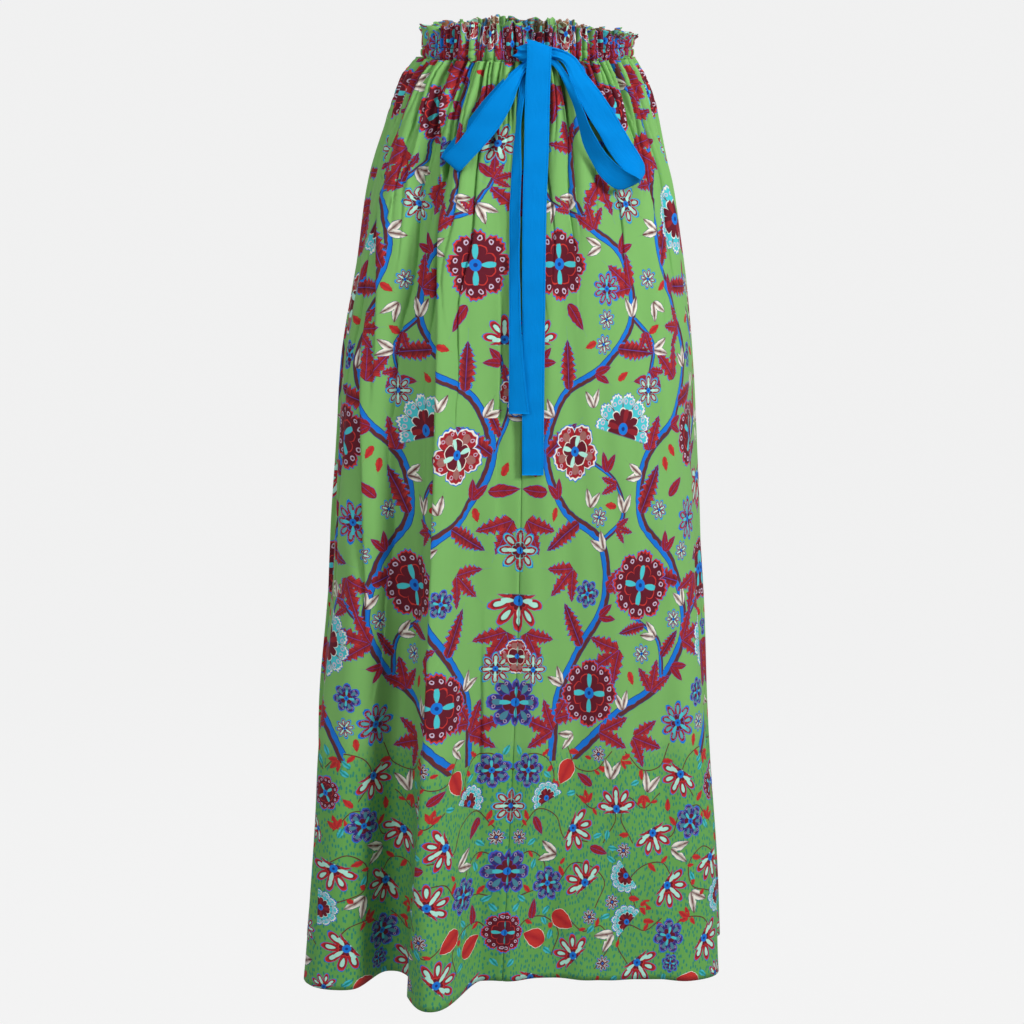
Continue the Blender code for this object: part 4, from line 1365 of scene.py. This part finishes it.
# The tie: a long strap of doubled blue cotton poplin, pressed and stitched along its edges, knotted in
# a bow at the front. One loop lies flat, the other stands open, and two tails hang down. Its tables
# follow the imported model's and carry on into the knot: X, drop and clearance from the smooth front, in
# millimetres, for each edge.
LONG_TAIL = (
    (-1.1, -14.3, 9.5, 24.7, -5.1, 9.5),
    (-0.9, -17.0, 13.5, 24.8, -8.6, 13.0),
    (-0.6, -9.6, 17.6, 24.6, -2.4, 17.2),
    (-0.8, 4.5, 18.2, 24.5, 6.6, 17.8),
    (-2.0, 22.0, 13.5, 23.8, 22.0, 12.5),
    (-2.7, 44.0, 9.5, 23.0, 44.0, 8.5),
    (-3.7, 94.0, 8.0, 22.0, 92.0, 7.0),
    (-5.0, 145.0, 7.5, 20.0, 145.0, 7.0),
    (-5.4, 289.0, 6.5, 18.2, 289.0, 6.5),
    (-5.5, 431.0, 6.5, 17.0, 431.0, 6.5),
)
SHORT_TAIL = (
    (-7.0, 17.0, 8.0, 4.0, 17.0, 8.0),
    (-9.0, 35.0, 6.5, -1.0, 35.0, 7.5),
    (-11.5, 54.0, 4.5, -5.0, 54.0, 9.0),
    (-15.0, 104.0, 3.5, -6.5, 104.0, 9.5),
    (-18.0, 145.0, 3.5, -7.2, 145.0, 9.5),
    (-18.8, 247.0, 5.0, -7.4, 247.0, 9.0),
    (-19.2, 300.0, 7.0, -4.8, 300.0, 9.5),
    (-19.4, 340.0, 7.0, -1.0, 340.0, 10.5),
    (-19.4, 366.0, 7.0, 1.7, 366.0, 10.5),
)
LEFT_LOOP = (
    (2.6, 0.9, 9.0, 3.6, 11.9, 9.0),
    (-4.7, 6.4, 11.0, -3.1, 16.8, 11.5),
    (-16.0, 15.7, 13.5, -8.8, 29.6, 13.5),
    (-33.5, 35.7, 14.5, -15.0, 46.6, 14.5),
    (-56.1, 66.0, 14.5, -33.5, 76.8, 14.5),
    (-74.8, 89.5, 13.0, -56.2, 102.4, 13.0),
    (-89.5, 102.6, 9.0, -70.7, 117.0, 9.0),
    (-86.0, 97.0, 5.0, -67.5, 112.0, 5.0),
    (-67.5, 73.0, 5.5, -48.0, 86.5, 5.5),
    (-45.0, 44.0, 5.5, -26.0, 57.5, 5.5),
    (-24.0, 22.0, 6.0, -12.0, 37.0, 6.0),
    (-8.0, 9.0, 6.5, -4.0, 19.0, 6.5),
)
RIGHT_LOOP = (
    (19.1, -10.1, 8.0, 19.1, 2.0, 8.0),
    (30.4, -8.1, 11.0, 29.4, 3.0, 11.0),
    (44.9, -2.0, 13.0, 36.6, 7.0, 12.0),
    (62.4, 20.2, 15.0, 45.8, 28.0, 13.0),
    (80.7, 44.1, 16.0, 59.2, 55.3, 12.0),
    (95.8, 67.2, 16.0, 72.8, 77.8, 11.0),
    (108.1, 88.1, 15.0, 84.4, 97.5, 10.0),
    (117.8, 102.9, 13.0, 94.9, 111.0, 13.0),
    (123.0, 115.2, 11.0, 106.3, 120.2, 24.0),
    (122.2, 122.8, 11.0, 114.0, 124.1, 32.0),
    (116.2, 128.3, 12.0, 114.8, 123.5, 35.0),
    (106.5, 132.3, 14.0, 106.7, 119.2, 35.0),
    (94.6, 135.0, 15.0, 96.1, 112.2, 32.0),
    (78.9, 125.4, 15.0, 84.8, 101.6, 28.0),
    (65.0, 104.6, 13.0, 73.3, 85.7, 27.0),
    (56.5, 86.0, 11.0, 64.7, 70.9, 25.0),
    (51.0, 64.3, 10.0, 57.5, 53.7, 22.0),
    (45.8, 46.2, 9.0, 49.8, 36.8, 19.0),
    (38.6, 28.1, 8.0, 42.2, 21.0, 14.0),
    (29.4, 13.1, 7.0, 31.5, 5.1, 9.0),
    (21.2, 5.2, 6.0, 22.2, -3.9, 7.0),
)
MILLIMETRE = 0.001
TIE_THICK = 0.0012
TIE_STEP = 0.0022
TIE_ROUND = 44           # points round a cross-section
CREASE_REACH = 0.030     # the creases from the knot die away over this
STITCHED_AT = 0.86       # the rows of stitching, as a share of the half-width
TIE_WAVES = ((3.1, 0.0006), (6.7, 0.0004), (13.0, 0.0002))    # slow waves in 0.4 m, and their height
STRAP_BLUE = dye(0, 127, 206)
STRAP_BLUE_LIGHT = dye(0, 140, 219)
STITCH_BLUE = dye(0, 84, 176)
STITCH_PITCH = 0.0026
STITCH_FROM_EDGE = 0.0016


def on_front(x, drop, clear):
    """A point in front of the smooth skirt at X and drop, the clearance nearer to the viewer."""
    sizes = section_sizes(drop)
    reach = np.where(x > sizes["seam"], sizes["right"] - sizes["seam"], sizes["seam"] - sizes["left"])
    share = np.clip(np.abs(x - sizes["seam"]) / reach, 0.0, 1.0)
    power = sizes["front_square"]
    depth = (1.0 - share**power) ** (1.0 / power)
    y = sizes["widest"] + (sizes["front"] - sizes["widest"]) * depth - clear
    return np.stack([x, y, -drop], axis=-1)


def band(rows, seed, creased):
    """A closed flat band along a table of places: across it a flattened ring with round edges, thinner
    along its stitching, and along it smooth between the rows. creased is how deep the creases are that
    run out from the knot. Gives its points, distances along, shares across and half-width vectors."""
    table = np.array(rows) * MILLIMETRE
    edges = [on_front(table[:, k], table[:, k + 1], table[:, k + 2]) for k in (0, 3)]
    middle = (edges[0] + edges[1]) / 2
    run = np.concatenate(([0.0], np.cumsum(np.linalg.norm(np.diff(middle, axis=0), axis=1))))
    at = np.linspace(0.0, run[-1], int(run[-1] / TIE_STEP))
    first, second = [
        np.stack([smooth_column(at, run, edge[:, axis]) for axis in range(3)], axis=1) for edge in edges
    ]
    half = (second - first) / 2
    centre = (first + second) / 2
    way = np.gradient(centre, axis=0)
    face = np.cross(half, way)
    face /= np.linalg.norm(face, axis=1, keepdims=True)
    turn = np.linspace(0.0, 2 * np.pi, TIE_ROUND, endpoint=False)
    across = np.sign(np.cos(turn)) * np.abs(np.cos(turn)) ** 0.55
    thick = np.sign(np.sin(turn)) * np.abs(np.sin(turn)) ** 0.30
    rng = np.random.default_rng(seed)
    wave = np.zeros((len(at), TIE_ROUND))
    for waves, size in TIE_WAVES:
        start, lean = rng.uniform(0, 6.28, 2)
        wave += size * np.sin(2 * np.pi * waves * at[:, None] / 0.4 + start + lean * 0.4 * across[None, :])
    near = np.exp(-at / CREASE_REACH)[:, None]
    crease = creased * near * np.cos(across[None, :] * 9.0 + 1.5 * at[:, None] / CREASE_REACH)
    stitched = 1.0 - 0.35 * np.exp(-(((np.abs(across) - STITCHED_AT) / 0.05) ** 2))
    plump = TIE_THICK / 2 * thick[None, :] * stitched[None, :]
    out = (wave + crease + plump)[..., None]
    points = centre[:, None] + half[:, None] * across[None, :, None] + face[:, None] * out
    return points, at, across, half


def closed_mesh(name, points, quads, flat_place, from_edge):
    """A closed smooth skin: the quads of a grid of points and its two flat ends. flat_place is each
    point's place on the flat cloth, kept as a UV map, and from_edge its distance from the tie's edge."""
    rows, columns = points.shape[:2]
    last_row = (rows - 1) * columns
    ends = [tuple(range(columns)), tuple(range(last_row + columns - 1, last_row - 1, -1))]
    faces = quads.tolist() + ends
    mesh = bpy.data.meshes.new(name)
    mesh.from_pydata(points.reshape(-1, 3).tolist(), [], faces)
    mesh.update()
    mesh.shade_smooth()
    corner = np.concatenate([np.array(face) for face in faces])
    flat = mesh.uv_layers.new(name="cloth")
    flat.data.foreach_set("uv", flat_place[corner].astype(np.float32).ravel())
    field = mesh.attributes.new("from_edge", "FLOAT", "POINT")
    field.data.foreach_set("value", from_edge.astype(np.float32))
    return mesh


def band_mesh(name, points, at, across, half):
    """The band's skin, with its place on the flat strap and its distance from the nearer edge."""
    width = np.linalg.norm(half, axis=1)
    u = (across[None, :] * width[:, None]).ravel()
    v = np.repeat(at, TIE_ROUND)
    edge = (width[:, None] * (1.0 - np.abs(across[None, :]))).ravel()
    quads = grid_faces(len(at), TIE_ROUND, closed=True)[:, ::-1]
    return closed_mesh(name, points, quads, np.stack([u, v], axis=-1), edge)


def tie_cotton(name):
    """Plain blue poplin: crisp, matt, a fine weave, faint soft creases and a row of stitches near each
    edge."""
    cloth = Cloth(name, 0.80, 0.03, 0.0)
    flat = cloth.add("ShaderNodeUVMap", {"uv_map": "cloth"})
    _, along, _ = cloth.parts(flat)
    edge = cloth.field("from_edge", "Fac")
    cloudy = cloth.noise(flat, 55.0, 3.0)
    colour = cloth.mix(cloudy * 0.35, STRAP_BLUE, STRAP_BLUE_LIGHT)
    stitch = (along * (2 * math.pi / STITCH_PITCH)).math("SINE") * 0.5 + 0.5
    stitched = abs(edge - STITCH_FROM_EDGE).below(0.0004, 0.0004)
    colour = cloth.mix(stitched * stitch * 0.35, colour, STITCH_BLUE)
    cloth.feed("Base Color", colour)
    rough = cloth.add("ShaderNodeMapping", {}, {"Vector": flat, "Scale": (90.0, 28.0, 1.0)})
    rumple = cloth.noise(rough, 1.0, 3.0)
    height = weave(cloth, flat, 0.0004) * 0.10 + rumple * 2.4 - stitched * 0.8
    cloth.relief(height, 0.55, 0.0006)
    return cloth.material


tie_blue = tie_cotton("tie_cotton")
# Each piece of the tie: its table, the seed of its waves and how deep its creases are
TIE_PIECES = {
    "tie_tail_long": (LONG_TAIL, 31, 0.0003),
    "tie_tail_short": (SHORT_TAIL, 32, 0.0004),
    "tie_loop_left": (LEFT_LOOP, 33, 0.0016),
    "tie_loop_right": (RIGHT_LOOP, 34, 0.0014),
}
for name, (rows, seed, creased) in TIE_PIECES.items():
    points, at, across, half = band(rows, seed, creased)
    piece = add_object(name + "_cloth", band_mesh(name, points, at, across, half), tie_blue)
    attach(piece, "root")
    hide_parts(name)

# The knot: the same strap wound round itself behind the long tail, a flattened lump with soft folds
# that turn about it.
KNOT_MIDDLE = np.array((0.0060, -0.0972, 0.0025))
KNOT_HALF_SIZES = np.array((0.0185, 0.0060, 0.0125))
KNOT_PINCH = 0.16
KNOT_ROWS = 73
KNOT_COLUMNS = 96
KNOT_POLE = 0.002        # radians from each pole to the first row
KNOT_FROM_EDGE = 0.01    # further from an edge than any stitching


def knot_surface(turn, rise):
    """A flattened ball, pinched at mid-width, with folds that run round it and deepen to its sides."""
    x = np.sin(rise) * np.cos(turn)
    y = np.sin(rise) * np.sin(turn)
    z = np.cos(rise)
    pinch = 1.0 - KNOT_PINCH * (1.0 - x**2) * np.abs(z)
    fold = 1.0 + 0.15 * np.sin(9.0 * z + 3.2 * x) * np.sin(rise) ** 2 + 0.05 * np.sin(17.0 * z - 5.0 * x)
    return KNOT_MIDDLE + KNOT_HALF_SIZES * np.stack([x * fold, y * fold, z * pinch], axis=-1)


rises = np.linspace(KNOT_POLE, math.pi - KNOT_POLE, KNOT_ROWS)
turns = np.linspace(0, 2 * math.pi, KNOT_COLUMNS, endpoint=False)
rise, turn = np.meshgrid(rises, turns, indexing="ij")
points = knot_surface(turn, rise)
quads = grid_faces(KNOT_ROWS, KNOT_COLUMNS, closed=True)
flat_place = points.reshape(-1, 3)[:, (0, 2)]
from_edge = np.full(KNOT_ROWS * KNOT_COLUMNS, KNOT_FROM_EDGE)
mesh = closed_mesh("tie_knot", points, quads, flat_place, from_edge)
knot = add_object("tie_knot_cloth", mesh, tie_blue)
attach(knot, "root")
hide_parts("tie_knot")
